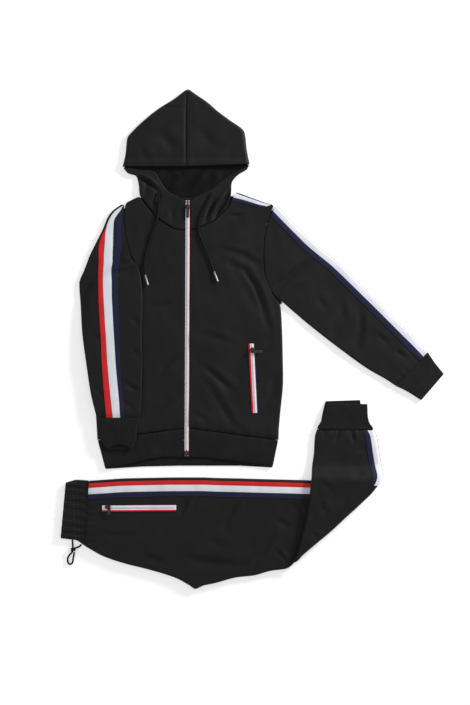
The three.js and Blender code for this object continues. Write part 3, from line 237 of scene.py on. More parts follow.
def layout(widths, roll_a, roll_b, marks, spacing):
    """Places across every row, and the number of the column at each mark."""
    shrink = np.minimum(1, widths / (roll_a + roll_b + 2))
    a, b = roll_a * shrink, roll_b * shrink
    knots = [a]
    least = np.minimum(0.5, (widths - a - b) / (len(marks) + 2))
    for k, mark in enumerate(marks):
        knots.append(np.minimum(np.maximum(mark, knots[-1] + least), widths - b - least * (len(marks) - k)))
    knots.append(widths - b)
    places, heights = [], []
    names = [0]
    if np.any(roll_a > 0):
        for t in ARC:
            places.append(a * (1 - math.cos(t)))
            heights.append(np.full_like(widths, math.sin(t)))
    else:
        places.append(np.zeros_like(widths))
        heights.append(np.ones_like(widths))
    names.append(len(places) - 1)
    for low, high in zip(knots, knots[1:]):
        n = max(1, math.ceil(np.max(high - low) / spacing))
        for k in range(1, n + 1):
            places.append(low + (high - low) * k / n)
            heights.append(np.ones_like(widths))
        names.append(len(places) - 1)
    if np.any(roll_b > 0):
        for t in ARC[-2::-1]:
            places.append(widths - b * (1 - math.cos(t)))
            heights.append(np.full_like(widths, math.sin(t)))
    return np.array(places).T, np.array(heights).T, names


def edges_of(table, step, roll_a, roll_b, marks, spacing):
    line = Line(table)
    where = line.rows(step)
    row = line.value(where)
    a = np.stack([row["ax"], row["ay"]], axis=1)
    b = np.stack([row["bx"], row["by"]], axis=1)
    widths = np.linalg.norm(b - a, axis=1)
    ra = row.get("rollA", np.full_like(widths, roll_a))
    rb = row.get("rollB", np.full_like(widths, roll_b))
    places, heights, names = layout(widths, ra, rb, [row[m] for m in marks], spacing)
    flat = a[:, None] + (b - a)[:, None] * (places / widths[:, None])[..., None]
    return line, where, places, heights, names, flat, widths


def panel(table, top, foot, step=4.0, roll_a=0.0, roll_b=0.0, marks=(), spacing=4.0):
    line, where, places, heights, names, flat, widths = edges_of(table, step, roll_a, roll_b, marks, spacing)
    x, y = flat[..., 0], flat[..., 1]
    low = foot(x, y, places / widths[:, None])
    z = low + (top(x, y) - low) * heights
    surface = Surface(np.stack([x, y, z], axis=2), where, names)
    surface.line = line
    up = surface.facing_up()
    up.line = line
    return up


def tube(table, top, under, step=4.0, roll_a=3.5, roll_b=3.5, marks=(), spacing=4.0, arch=0.0):
    line, where, places, heights, names, flat, widths = edges_of(table, step, roll_a, roll_b, marks, spacing)
    bow = np.sin(np.pi * places / widths[:, None])
    middle = (flat[:, 0] + flat[:, -1]) / 2
    ahead = middle[-1] - middle[0]
    ahead = ahead / np.linalg.norm(ahead)
    lean = -arch * (where / line.length)[:, None, None] * ahead * bow[..., None]
    upper = flat + lean
    halves = []
    for places_xy, sign in ((upper, 1), (flat, -1)):
        x, y = places_xy[..., 0], places_xy[..., 1]
        high, low = top(x, y), under(x, y)
        z = (high + low) / 2 + (high - low) / 2 * heights * sign
        halves.append(np.stack([x, y, z], axis=2))
    ring = np.concatenate([halves[0], halves[1][:, -2:0:-1]], axis=1)
    surface = Surface(ring, where, names, wrap=True)
    surface.line = line
    up = surface.facing_up()
    up.line = line
    return up


# Meshes

def steps_along(points, axis):
    d = np.linalg.norm(np.diff(points, axis=axis), axis=2)
    pad = [(0, 0), (0, 0)]
    pad[axis] = (1, 0)
    return np.pad(np.cumsum(d, axis=axis), pad)


def new_object(name, vertices, faces, uv=None, smooth=True, offset=(0, 0, 0), sharp=math.radians(55)):
    mesh = bpy.data.meshes.new(name)
    vertices = (np.asarray(vertices) + np.asarray(offset)) * MM
    mesh.from_pydata(vertices.tolist(), [], [list(map(int, f)) for f in faces])
    mesh.validate()
    if uv is not None:
        layer = mesh.uv_layers.new(name="cloth")
        index = np.empty(len(mesh.loops), int)
        mesh.loops.foreach_get("vertex_index", index)
        layer.data.foreach_set("uv", (np.asarray(uv)[index] * MM).ravel())
    if smooth:
        mesh.polygons.foreach_set("use_smooth", np.ones(len(mesh.polygons), bool))
        mesh.set_sharp_from_angle(angle=sharp)
    obj = bpy.data.objects.new(name, mesh)
    scene.collection.objects.link(obj)
    return obj


def sheet_faces(rows, columns, wrap):
    """Quads of a closed sheet between an outer and an inner grid of points."""
    size = rows * columns
    i, j = np.meshgrid(np.arange(rows - 1), np.arange(columns if wrap else columns - 1), indexing="ij")
    i, j = i.ravel(), j.ravel()
    k = (j + 1) % columns
    a, b, c, d = i * columns + j, i * columns + k, (i + 1) * columns + k, (i + 1) * columns + j
    faces = [np.stack([a, b, c, d], 1), np.stack([a, d, c, b], 1) + size]
    j = np.arange(columns if wrap else columns - 1)
    k = (j + 1) % columns
    last = (rows - 1) * columns
    faces.append(np.stack([j, j + size, k + size, k], 1))
    faces.append(np.stack([last + j, last + k, last + k + size, last + j + size], 1))
    if not wrap:
        i = np.arange(rows - 1) * columns
        faces.append(np.stack([i, i + columns, i + columns + size, i + size], 1))
        e = i + columns - 1
        faces.append(np.stack([e, e + size, e + columns + size, e + columns], 1))
    return np.concatenate(faces)


def thin_at(surface, wall, sides):
    """1 inside the cloth, less near a folded edge, so the edge is rounded."""
    p = surface.points
    factor = np.ones(p.shape[:2])
    radius = wall / 2
    v = steps_along(p, 0)
    u = steps_along(p, 1)
    distances = {
        "first": v, "last": v[-1] - v, "a": u, "b": u[:, -1:] - u,
    }
    for side in sides:
        d = np.clip(distances[side] / radius, 0, 1)
        factor = np.minimum(factor, np.maximum(0.2, np.sqrt(np.maximum(0, 1 - (1 - d) ** 2))))
    return factor


def between(name, outer, inner, grid, wrap, offset):
    """A closed sheet between two grids of points, with its cloth coordinates measured on a third."""
    uv = np.stack([steps_along(grid, 1), steps_along(grid, 0)], axis=2).reshape(-1, 2)
    vertices = np.concatenate([outer.reshape(-1, 3), inner.reshape(-1, 3)])
    faces = sheet_faces(*grid.shape[:2], wrap)
    return new_object(name, vertices, faces, np.concatenate([uv, uv]), offset=offset)


def shell(name, surface, wall, offset, foot=0.0, sides=("first", "last")):
    p, n = surface.points, surface.normals
    thin = thin_at(surface, wall, sides)[..., None]
    middle = p - n * wall / 2
    outer = middle + n * wall / 2 * thin
    inner = middle - n * wall / 2 * thin
    inner[..., 2] = np.maximum(inner[..., 2], np.minimum(foot, outer[..., 2]))
    outer[..., 2] = np.maximum(outer[..., 2], np.minimum(foot, p[..., 2]))
    return between(name, outer, inner, p, surface.wrap, offset)


SEAM = 0.3
TAPE = 0.7


def tape_on(name, surface, from_mark, to_mark, offset, rows=None, lift=SEAM):
    """Tape laid on part of a surface between two named columns."""
    keep = np.ones(len(surface.where), bool)
    if rows is not None:
        start, stop = np.interp(rows, np.arange(len(surface.line.at)), surface.line.at)
        keep = (surface.where >= start - 1e-6) & (surface.where <= stop + 1e-6)
    a, b = surface.marks[from_mark], surface.marks[to_mark]
    p = surface.points[keep][:, a:b + 1].copy()
    n = surface.normals[keep][:, a:b + 1]
    for edge, inner in ((0, 1), (-1, -2)):
        gap = np.linalg.norm(p[:, inner] - p[:, edge], axis=1, keepdims=True)
        p[:, edge] += (p[:, inner] - p[:, edge]) * np.minimum(1 / 3, 0.15 / np.maximum(gap, 1e-6))
    outer, inner = p + n * (lift + TAPE), p + n * lift
    v = steps_along(p, 0)
    u = steps_along(p, 1)
    edge = np.minimum(np.minimum(u, u[:, -1:] - u), np.minimum(v, v[-1] - v))
    outer -= n * (0.35 * np.clip(1 - edge / 0.8, 0, 1) ** 2)[..., None]
    obj = between(name, outer, inner, p, False, offset)
    top = Surface(outer, surface.where[keep], [0, b - a])
    top.line = surface.line
    return obj, top


# Lines on a surface, for stitching

def directed(a, b):
    """Two points as arrays, the distance between them, the direction from one to the other, and its left."""
    a, b = np.array(a, float), np.array(b, float)
    whole = np.linalg.norm(b - a)
    way = (b - a) / whole
    return a, b, whole, way, np.array([-way[1], way[0]])


def distances_along(points):
    return np.concatenate([[0], np.cumsum(np.linalg.norm(np.diff(points, axis=0), axis=1))])


def line_across(surface, edge, distance, low=0.0, high=1.0):
    """Points at a distance from edge a or b on the rows between two shares of the length."""
    p, n = surface.points, surface.normals
    share = surface.where / surface.line.length
    rows = [i for i in range(len(p)) if low <= share[i] <= high]
    out, normals = [], []
    for i in rows:
        row = p[i] if edge == "a" else p[i][::-1]
        turn = n[i] if edge == "a" else n[i][::-1]
        at = distances_along(row)
        if distance > 0.8 * at[-1]:
            continue
        out.append([np.interp(distance, at, row[:, k]) for k in range(3)])
        normals.append([np.interp(distance, at, turn[:, k]) for k in range(3)])
    return np.array(out), np.array(normals)


def line_along(surface, end, distance, first=0, last=None):
    """Points at a distance from the first or last row, over the columns given."""
    p, n = surface.points, surface.normals
    last = p.shape[1] - 1 if last is None else last
    forward = (end == "first") == (surface.where[0] < surface.where[-1])
    out, normals = [], []
    for j in range(first, last + 1):
        column = p[:, j] if forward else p[::-1, j]
        turn = n[:, j] if forward else n[::-1, j]
        at = distances_along(column)
        out.append([np.interp(distance, at, column[:, k]) for k in range(3)])
        normals.append([np.interp(distance, at, turn[:, k]) for k in range(3)])
    return np.array(out), np.array(normals)


STITCH = {"pitch": 3.1, "long": 2.5, "wide": 0.55, "high": 0.3}


def stitches(name, lines, offset, pitch=STITCH["pitch"], long=STITCH["long"], wide=STITCH["wide"]):
    """Short raised threads, end to end, along lines of (points, normals)."""
    vertices, faces = [], []
    for points, normals in lines:
        if len(points) < 2:
            continue
        at = distances_along(points)
        keep = np.concatenate([[True], np.diff(at) > 1e-6])
        points, normals, at = points[keep], normals[keep], at[keep]
        count = int(at[-1] // pitch)
        if count < 1:
            continue
        starts = (at[-1] - count * pitch) / 2 + pitch * np.arange(count) + (pitch - long) / 2
        pick = lambda s, values: np.stack([np.interp(s, at, values[:, k]) for k in range(3)], axis=1)
        a, b = pick(starts, points), pick(starts + long, points)
        up = pick(starts + long / 2, normals)
        up /= np.linalg.norm(up, axis=1, keepdims=True)
        way = b - a
        way /= np.maximum(np.linalg.norm(way, axis=1, keepdims=True), 1e-9)
        side = np.cross(up, way)
        middle = (a + b) / 2
        high = STITCH["high"]
        ring = []
        for along, broad, tall in ((-1, 0.45, -0.5), (-0.55, 1, 1), (0.55, 1, 1), (1, 0.45, -0.5)):
            centre = middle + way * along * long / 2
            for s, h in ((-1, -0.4), (-0.5, 1), (0.5, 1), (1, -0.4)):
                lift = h * high * tall if tall > 0 else -0.2 * high
                ring.append(centre + side * s * broad * wide / 2 + up * lift)
        ring = np.stack(ring, axis=1)
        base = len(vertices) and sum(len(v) for v in vertices)
        for k in range(len(ring)):
            s = base + 16 * k
            for r in range(3):
                for c in range(3):
                    faces.append((s + 4 * r + c, s + 4 * r + c + 4, s + 4 * r + c + 5, s + 4 * r + c + 1))
        vertices.append(ring.reshape(-1, 3))
    return new_object(name, np.concatenate(vertices), faces, offset=offset, smooth=True)


# Materials

def material(name):
    m = bpy.data.materials.new(name)
    m.use_nodes = True
    nodes = m.node_tree.nodes
    shader = nodes["Principled BSDF"]
    return m, nodes, m.node_tree.links, shader


def add_math(nodes, links, kind, first, second):
    node = nodes.new("ShaderNodeMath")
    node.operation = kind
    for socket, value in zip(node.inputs, (first, second)):
        if isinstance(value, (int, float)):
            socket.default_value = value
        else:
            links.new(value, socket)
    return node.outputs[0]


def waves(nodes, links, coordinate, direction, period, detail=0.0):
    """A ripple across u or v with the given period in millimetres."""
    node = nodes.new("ShaderNodeTexWave")
    node.wave_type = "BANDS"
    node.bands_direction = direction
    node.inputs["Scale"].default_value = 0.3142 / (period * MM)
    node.inputs["Distortion"].default_value = detail
    node.inputs["Detail"].default_value = 1.0
    node.inputs["Detail Scale"].default_value = 0.5
    links.new(coordinate, node.inputs["Vector"])
    return node.outputs["Fac"]


def clouds(nodes, links, coordinate, size, detail=2.0, roughness=0.5):
    node = nodes.new("ShaderNodeTexNoise")
    node.inputs["Scale"].default_value = 1.0 / (size * MM)
    node.inputs["Detail"].default_value = detail
    node.inputs["Roughness"].default_value = roughness
    links.new(coordinate, node.inputs["Vector"])
    return node.outputs["Fac"]


def cloth_material(name, colour, light, rough, wale, course, bump, sheen=0.25, rib=None):
    """Knitted cloth: wales and courses in the bump, colour uneven in soft random patches and darker in the
    grooves of the knit or ribs as painted shade, uneven roughness.
    """
    m, nodes, links, shader = material(name)
    place = nodes.new("ShaderNodeTexCoord").outputs["UV"]
    wales = waves(nodes, links, place, "X", wale, 0.4)
    courses = waves(nodes, links, place, "Y", course, 0.4)
    knit = add_math(nodes, links, "MULTIPLY", wales, courses)
    fuzz = clouds(nodes, links, place, 0.9, 3.0, 0.7)
    height = add_math(nodes, links, "ADD", add_math(nodes, links, "MULTIPLY", knit, 0.7),
                      add_math(nodes, links, "MULTIPLY", fuzz, 0.5))
    if rib is not None:
        ribs = waves(nodes, links, place, "X", rib, 0.0)
        height = add_math(nodes, links, "ADD", height, add_math(nodes, links, "MULTIPLY", ribs, 3.0))
    bumped = nodes.new("ShaderNodeBump")
    bumped.inputs["Strength"].default_value = 0.55
    bumped.inputs["Distance"].default_value = bump * MM
    links.new(height, bumped.inputs["Height"])
    links.new(bumped.outputs["Normal"], shader.inputs["Normal"])
    # Colour: soft random patches, plus painted shade that darkens the grooves of the knit or ribs and lightens
    # their crowns.
    patch = clouds(nodes, links, place, 55, 3.0, 0.55)
    patches_and_groove_shade = add_math(nodes, links, "ADD", add_math(nodes, links, "MULTIPLY", patch, 0.6),
                     add_math(nodes, links, "MULTIPLY", knit if rib is None else ribs, 0.4))
    mix = nodes.new("ShaderNodeMix")
    mix.data_type = "RGBA"
    mix.inputs["A"].default_value = (*colour, 1)
    mix.inputs["B"].default_value = (*light, 1)
    links.new(patches_and_groove_shade, mix.inputs["Factor"])
    links.new(mix.outputs["Result"], shader.inputs["Base Color"])
    worn = nodes.new("ShaderNodeMapRange")
    worn.inputs["To Min"].default_value = rough - 0.06
    worn.inputs["To Max"].default_value = rough + 0.06
    links.new(clouds(nodes, links, place, 20), worn.inputs["Value"])
    links.new(worn.outputs["Result"], shader.inputs["Roughness"])
    shader.inputs["Sheen Weight"].default_value = sheen
    shader.inputs["Sheen Roughness"].default_value = 0.45
    shader.inputs["Sheen Tint"].default_value = (1, 1, 1, 1)
    shader.inputs["Specular IOR Level"].default_value = 0.16
    return m


def hard_material(name, colour, rough, metal, grain=0.35, space="Object"):
    """Metal or moulded plastic with a fine uneven finish."""
    m, nodes, links, shader = material(name)
    place = nodes.new("ShaderNodeTexCoord").outputs[space]
    speck = clouds(nodes, links, place, 1.4, 4.0, 0.6)
    tone = nodes.new("ShaderNodeMix")
    tone.data_type = "RGBA"
    tone.inputs["A"].default_value = (*[c * 0.86 for c in colour], 1)
    tone.inputs["B"].default_value = (*colour, 1)
    links.new(speck, tone.inputs["Factor"])
    links.new(tone.outputs["Result"], shader.inputs["Base Color"])
    spread = nodes.new("ShaderNodeMapRange")
    spread.inputs["To Min"].default_value = rough * (1 - grain)
    spread.inputs["To Max"].default_value = rough * (1 + grain)
    links.new(speck, spread.inputs["Value"])
    links.new(spread.outputs["Result"], shader.inputs["Roughness"])
    bumped = nodes.new("ShaderNodeBump")
    bumped.inputs["Strength"].default_value = 0.15
    bumped.inputs["Distance"].default_value = 0.05 * MM
    links.new(speck, bumped.inputs["Height"])
    links.new(bumped.outputs["Normal"], shader.inputs["Normal"])
    shader.inputs["Metallic"].default_value = metal
    return m


BLACK = (0.0088, 0.0080, 0.0088)
BLACK_LIGHT = (0.0165, 0.0150, 0.0163)
knit_black = cloth_material("knit, black", BLACK, BLACK_LIGHT, 0.62, 1.1, 0.9, 0.10, sheen=0.04)
# The hood's lining, coloured much darker than the outer knit: painted shade for the hollow inside the hood.
lining_painted_shade = cloth_material(
    "lining, painted shade", (0.0008, 0.0008, 0.001), (0.0050, 0.0048, 0.0053), 0.7, 1.6, 1.2, 0.16, sheen=0.03)
rib_black = cloth_material(
    "rib, black", (0.0062, 0.0060, 0.0062), (0.0145, 0.0140, 0.0143), 0.75, 0.9, 1.1, 0.12, sheen=0.03, rib=2.7)
tape_red = cloth_material(
    "tape, red", (0.64, 0.016, 0.020), (0.74, 0.026, 0.028), 0.55, 0.8, 0.8, 0.06, sheen=0.03)
tape_white = cloth_material(
    "tape, white", (0.76, 0.78, 0.85), (0.86, 0.88, 0.94), 0.55, 0.8, 0.8, 0.06, sheen=0.03)
tape_navy = cloth_material(
    "tape, navy", (0.012, 0.0125, 0.038), (0.019, 0.020, 0.055), 0.6, 0.8, 0.8, 0.06, sheen=0.03)
zip_white = cloth_material(
    "zip tape, white", (0.86, 0.80, 0.82), (0.95, 0.90, 0.92), 0.6, 0.6, 0.9, 0.06, sheen=0.03)
teeth_white = hard_material("teeth, white", (0.84, 0.8, 0.82), 0.35, 0.0)
dark_metal = hard_material("metal, dark", (0.055, 0.052, 0.055), 0.42, 0.6)
bright_metal = hard_material("metal, bright", (0.30, 0.30, 0.31), 0.38, 1.0)
thread_black = hard_material("thread, black", (0.013, 0.0125, 0.014), 0.75, 0.0)
thread_white = hard_material("thread, white", (0.8, 0.8, 0.83), 0.6, 0.0)
thread_red = hard_material("thread, red", (0.62, 0.03, 0.03), 0.6, 0.0)
thread_navy = hard_material("thread, navy", (0.02, 0.024, 0.08), 0.6, 0.0)


def cord_material():
    """Round braid: two sets of slanting strands, coloured darker in the grooves between them as painted shade.
    """
    m, nodes, links, shader = material("cord, black")
    place = nodes.new("ShaderNodeTexCoord").outputs["UV"]
    height = None
    for turn in (math.radians(35), math.radians(-35)):
        mapping = nodes.new("ShaderNodeMapping")
        mapping.inputs["Rotation"].default_value = (0, 0, turn)
        links.new(place, mapping.inputs["Vector"])
        strand = waves(nodes, links, mapping.outputs["Vector"], "X", 1.3)
        height = strand if height is None else add_math(nodes, links, "MAXIMUM", height, strand)
    bumped = nodes.new("ShaderNodeBump")
    bumped.inputs["Strength"].default_value = 0.8
    bumped.inputs["Distance"].default_value = 0.25 * MM
    links.new(height, bumped.inputs["Height"])
    links.new(bumped.outputs["Normal"], shader.inputs["Normal"])
    # Painted shade: the colour is darker where the strands' height is low, in the grooves.
    mix = nodes.new("ShaderNodeMix")
    mix.data_type = "RGBA"
    mix.inputs["A"].default_value = (0.0025, 0.0025, 0.0027, 1)
    mix.inputs["B"].default_value = (0.008, 0.008, 0.0083, 1)
    links.new(height, mix.inputs["Factor"])
    links.new(mix.outputs["Result"], shader.inputs["Base Color"])
    shader.inputs["Roughness"].default_value = 0.7
    shader.inputs["Specular IOR Level"].default_value = 0.15
    return m


cord_black = cord_material()


def dress(obj, look, node=None, body=BODY):
    """Gives a piece its material and its body, and hides the solids that it stands for."""
    obj.data.materials.append(look)
    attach(obj, body)
    if node is not None:
        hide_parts(*([node] if isinstance(node, str) else node))
    return obj


# Sizes of the layers
CLOTH = 1.8
DOUBLE_CLOTH = 3.0
RIB = 2.2
WAIST = 2.4
JACKET_TOP = 7.0
SLEEVE_THICK = 7.0
HOOD_TOP = 9.8
LEG_CORE = 5.2
CORE_ROLL = LEG_CORE / 2
LEG_TOP = 10.6
BAND_THICK = 8.0


def rows_of(names, values, **same):
    return [dict(zip(names, row), **same) for row in values]


EDGES = ("ax", "ay", "bx", "by")

# Jacket body
ZIP_HALF = 5.6
ZIP_FOOT = -1.0
ZIP_LEAN = 2.5 / 550


def zip_at(y):
    return ZIP_FOOT + ZIP_LEAN * y


def zip_left(y):
    return zip_at(y) - ZIP_HALF


def zip_right(y):
    return zip_at(y) + ZIP_HALF


BACK = rows_of(EDGES, [
    (-104, 557.8, 108, 557.8), (-131, 545, 129, 547), (-134, 534, 176, 531), (-135, 499, 172, 503),
    (-126, 453, 164, 457), (-113, 414, 163, 423), (-118, 402, 165, 393), (-145, 388, 174, 371),
    (-180, 362, 183, 349), (-198, 325, 200, 322), (-202, 270, 203, 270), (-203, 166, 206, 166),
    (-196, 85, 199, 85), (-193, 36, 197, 36),
])
LEFT_FRONT = rows_of((*EDGES, "rollA"), [
    (-104, 559, -100, 556, 1), (-116, 554, -93, 546, 3), (-131, 545, -79, 528, 3), (-134, 533, -64, 510, 1),
    (-135, 515, -45, 498, 1), (-135, 499, -24, 488, 1), (-132, 480, zip_left(485), 485, 1),
    (-126, 453, zip_left(455), 455, 1), (-119, 429, zip_left(430), 430, 1),
    (-113, 414, zip_left(412), 412, 1),
    (-118, 402, zip_left(398), 398, 1), (-145, 388, zip_left(382), 382, 3),
    (-180, 362, zip_left(356), 356, 5),
    (-198, 325, zip_left(322), 322, 5), (-202, 270, zip_left(270), 270, 5),
    (-203, 166, zip_left(166), 166, 5),
    (-196, 85, zip_left(90), 90, 5), (-192, 37, zip_left(61.5), 61.5, 5),
])
RIGHT_FRONT = rows_of((*EDGES, "rollA"), [
    (106, 569, 100, 560, 1), (118, 565, 88, 535, 3), (134, 559, 74, 521, 3), (166, 547, 58, 506, 3),
    (186, 540, 45, 499, 2), (178, 520, 30, 492, 1), (168, 485, zip_right(485), 485, 1),
    (165, 455, zip_right(455), 455, 1), (164, 423, zip_right(423), 423, 1),
    (166, 393, zip_right(393), 393, 1),
    (174, 372, zip_right(372), 372, 1), (184, 349, zip_right(347), 347, 1),
    (201, 323, zip_right(322), 322, 4),
    (204, 290, zip_right(290), 290, 5), (206, 228, zip_right(228), 228, 5),
    (207, 166, zip_right(166), 166, 5),
    (200, 85, zip_right(90), 90, 5), (196, 37, zip_right(61.5), 61.5, 5),
], white=1, navy=14, end=24)
FRONT_FOLDS = [
    (92, 416, 178, 275, -1.6, 9), (74, 448, 155, 411, -1.0, 7), (-24, 218, -61, 181, -0.9, 8),
    (34, 196, 99, 141, -0.9, 9), (-40, 300, -30, 120, 0.9, 26), (80, 330, 60, 120, 0.9, 30),
    (-150, 520, -140, 40, 0.4, 75), (130, 540, 120, 40, 0.5, 75), (-24, 440, -92, 390, -1.0, 22),
    (-110, 500, -40, 480, -0.7, 26), (-20, 345, -90, 318, -0.8, 24),
]
FRONT_CREASES = [
    ([(92, 416), (125, 400), (148, 366), (161, 331), (171, 296), (178, 275)], 1.5, 7),
    ([(74, 448), (125, 434), (155, 411)], 0.9, 6),
    ([(92, 517), (120, 519)], 0.8, 5),
    ([(-24, 218), (-61, 181)], 1.0, 6),
    ([(-21, 141), (-58, 101), (-98, 76)], 1.1, 8),
    ([(34, 264), (99, 245)], 0.8, 7),
    ([(34, 196), (66, 170), (99, 141)], 1.2, 7),
    ([(40, 162), (68, 120), (99, 70), (123, 52)], 1.1, 8),
    ([(-30, 330), (-70, 318)], 0.6, 7),
    ([(-24, 440), (-60, 420), (-88, 396)], 0.7, 8),
    ([(20, 90), (46, 74)], 0.7, 6),
    ([(150, 210), (182, 232)], 0.7, 7),
    ([(158, 90), (180, 130), (190, 170)], 0.8, 8),
]


def blouse(y, seam, reach=38.0, rise=1.3):
    """Cloth that swells a little above a ribbed seam and is pulled down at the seam."""
    d = np.maximum(y - seam, 0)
    return rise * np.exp(-(((d - 0.45 * reach) / (0.4 * reach)) ** 2)) - 1.6 * np.exp(-((d / 4.5) ** 2))


def band_seam(x):
    return np.interp(x, [-193, zip_left(60), zip_right(60), 197], [35.2, 60, 60, 35.2])


def front_top(x, y):
    z = JACKET_TOP + folds(FRONT_FOLDS, x, y) + creases(FRONT_CREASES, x, y) + unevenness(x, y, 1.1)
    seam = band_seam(x)
    d = np.maximum(y - seam, 0)
    gathers = 0.55 * np.sin(x / 3.9 + 1.2 * np.sin(x / 31)) * np.exp(-d / 14)
    return z + blouse(y, seam) + gathers


def level(height):
    return lambda x, y, place=None: np.full(np.shape(x), float(height))


back = panel(BACK, level(CLOTH), level(0.0), step=14, spacing=12)
dress(shell("jacket_back_cloth", back, CLOTH, JACKET_AT), knit_black, "jacket_back")
left_front = panel(LEFT_FRONT, front_top, level(CLOTH + SEAM), roll_a=1)
right_front = panel(RIGHT_FRONT, front_top, level(CLOTH + SEAM), marks=("white", "navy", "end"), roll_a=1)
left_front_cloth = dress(
    shell("left_front_cloth", left_front, CLOTH, JACKET_AT, CLOTH + SEAM, ("first", "last", "b")),
    knit_black, "left_front")
right_front_cloth = dress(
    shell("right_front_cloth", right_front, CLOTH, JACKET_AT, CLOTH + SEAM, ("first", "last", "b")),
    knit_black, "right_front")

# Sleeves
BODY_LEFT = [(-113, 430), (-113, 414), (-118, 402), (-145, 388), (-180, 362), (-198, 325),
             (-202, 270), (-203, 166), (-196, 85), (-193, 37), (-178, -24), (-168, -60)]
DROOP = (-34, -13)
ARMHOLE_END = (419, 438)


def left_sleeve_under(x, y):
    return (JACKET_TOP + 1.2) * ease(*DROOP, inside_of(BODY_LEFT, x, y)) * (1 - ease(*ARMHOLE_END, y))


SLEEVE_MARKS = ("beside", "over", "red", "white", "navy", "end")
LEFT_SLEEVE = rows_of((*EDGES, *SLEEVE_MARKS, "rollB"), [
    (-141, 543, -135.5, 541, 1, 1.5, 1, 2, 4, 5, 1), (-161, 528, -136, 525, 1, 1.5, 2, 3, 16, 23, 1),
    (-172, 512, -136.5, 510, 1, 1.5, 2, 4, 16.5, 33, 1), (-181, 490, -136, 490, 1, 1.5, 3, 7, 23, 40, 1),
    (-197, 458, -129, 458, 5, 6, 8, 20, 38, 56, 1), (-211, 429, -121, 429, 10, 17, 21, 32, 51, 67, 1),
    (-215, 418, -115, 419, 11, 20, 25, 36, 55, 70, 1), (-222, 400, -104, 405, 14, 25, 31, 42, 60, 76, 2),
    (-232, 372, -97, 370, 14, 25, 42, 52, 71, 84, 3.5), (-229, 324, -95, 324, 14, 25, 40, 51, 69, 82, 3.5),
    (-226, 273, -97, 273, 14, 25, 40, 51, 69, 80, 3.5), (-217, 205, -96, 205, 14, 25, 34, 46, 64, 74, 3.5),
    (-207, 138, -97, 138, 10, 17, 29, 42, 60, 68, 3.5), (-194, 84, -101, 84, 10, 17, 21, 35, 51, 61, 3.5),
])
LEFT_SLEEVE_FOLDS = [(-132, 160, -104, 141, -1.2, 8), (-150, 392, -106, 410, -1.4, 8)]
LEFT_SLEEVE_CREASES = [
    ([(-132, 159), (-104, 141)], 0.9, 5),
    ([(-150, 392), (-126, 398), (-106, 411)], 1.2, 6),
    ([(-205, 260), (-180, 250)], 0.5, 7),
    ([(-120, 300), (-102, 285)], 0.6, 6),
    ([(-200, 150), (-176, 128)], 0.6, 7),
    ([(-118, 232), (-100, 214)], 0.6, 6),
    ([(-140, 118), (-112, 104)], 0.7, 6),
]


def left_sleeve_top(x, y):
    z = left_sleeve_under(x, y) + SLEEVE_THICK + folds(LEFT_SLEEVE_FOLDS, x, y)
    z = z + creases(LEFT_SLEEVE_CREASES, x, y) + unevenness(x, y, 0.9, 1.0)
    d = np.maximum(y - 84, 0)
    return z + blouse(y, 84.0, 30, 1.0) + 0.5 * np.sin(x / 2.6) * np.exp(-d / 10)


left_sleeve = tube(LEFT_SLEEVE, left_sleeve_top, left_sleeve_under, roll_a=3.5, marks=SLEEVE_MARKS)
left_sleeve_cloth = dress(
    shell("left_sleeve_cloth", left_sleeve, CLOTH, JACKET_AT), knit_black, "left_sleeve")

RIGHT_SLEEVE = rows_of((*EDGES, "rollB"), [
    (193, 540, 185.2, 533, 1), (207, 524, 177.4, 511, 1), (226, 504, 169.2, 482, 1),
    (249, 481, 166, 450, 1),
    (274, 458, 167.6, 393, 1), (300, 437, 185.6, 350, 1), (321, 420, 206, 332, 3),
    (368, 375, 262, 284, 3.5),
    (420, 324, 330, 231, 3.5), (471, 273, 390, 188, 3.5), (500, 244, 430, 165, 3.5),
    (518, 225, 449, 152, 3.5),
], navy=14, end=26)
RIGHT_SLEEVE_FOLDS = [
    (178, 352, 262, 412, -1.6, 10), (234, 335, 236, 250, -1.0, 12), (330, 330, 318, 250, -0.9, 12),
]
RIGHT_SLEEVE_CREASES = [
    ([(183, 359), (208, 379), (240, 407), (262, 421)], 1.6, 6),
    ([(206, 338), (226, 356), (250, 372)], 0.9, 6),
    ([(374, 322), (374, 270), (362, 236)], 1.0, 8),
    ([(335, 330), (334, 295)], 0.7, 7),
    ([(284, 340), (300, 318)], 0.7, 7),
    ([(410, 262), (432, 244)], 0.7, 6),
    ([(450, 226), (470, 214)], 0.7, 5),
]
RIGHT_SEAM = ((518, 225), (449, 152))


def right_sleeve_top(x, y):
    (x1, y1), (x2, y2) = RIGHT_SEAM
    length = math.hypot(x2 - x1, y2 - y1)
    d = np.maximum(((x - x1) * (y2 - y1) - (y - y1) * (x2 - x1)) / length, 0)
    across = ((x - x1) * (x2 - x1) + (y - y1) * (y2 - y1)) / length
    z = SLEEVE_THICK + folds(RIGHT_SLEEVE_FOLDS, x, y) + creases(RIGHT_SLEEVE_CREASES, x, y)
    z = z + unevenness(x, y, 0.9, 2.0) + blouse(d, 0.0, 30, 1.0)
    return z + 0.5 * np.sin(across / 2.6) * np.exp(-d / 10)


right_sleeve = tube(RIGHT_SLEEVE, right_sleeve_top, level(0.0), roll_a=3.5, marks=("navy", "end"))
right_sleeve_cloth = dress(
    shell("right_sleeve_cloth", right_sleeve, CLOTH, JACKET_AT), knit_black, "right_sleeve")

# Striped tape down the sleeves and over the right shoulder
tape_pieces = {}


def striped(key, node, surface, from_mark, to_mark, look, offset, rows=None):
    obj, top = tape_on(f"{node}_band", surface, from_mark, to_mark, offset, rows)
    dress(obj, look, node)
    tape_pieces[key] = (obj, top)
    return obj


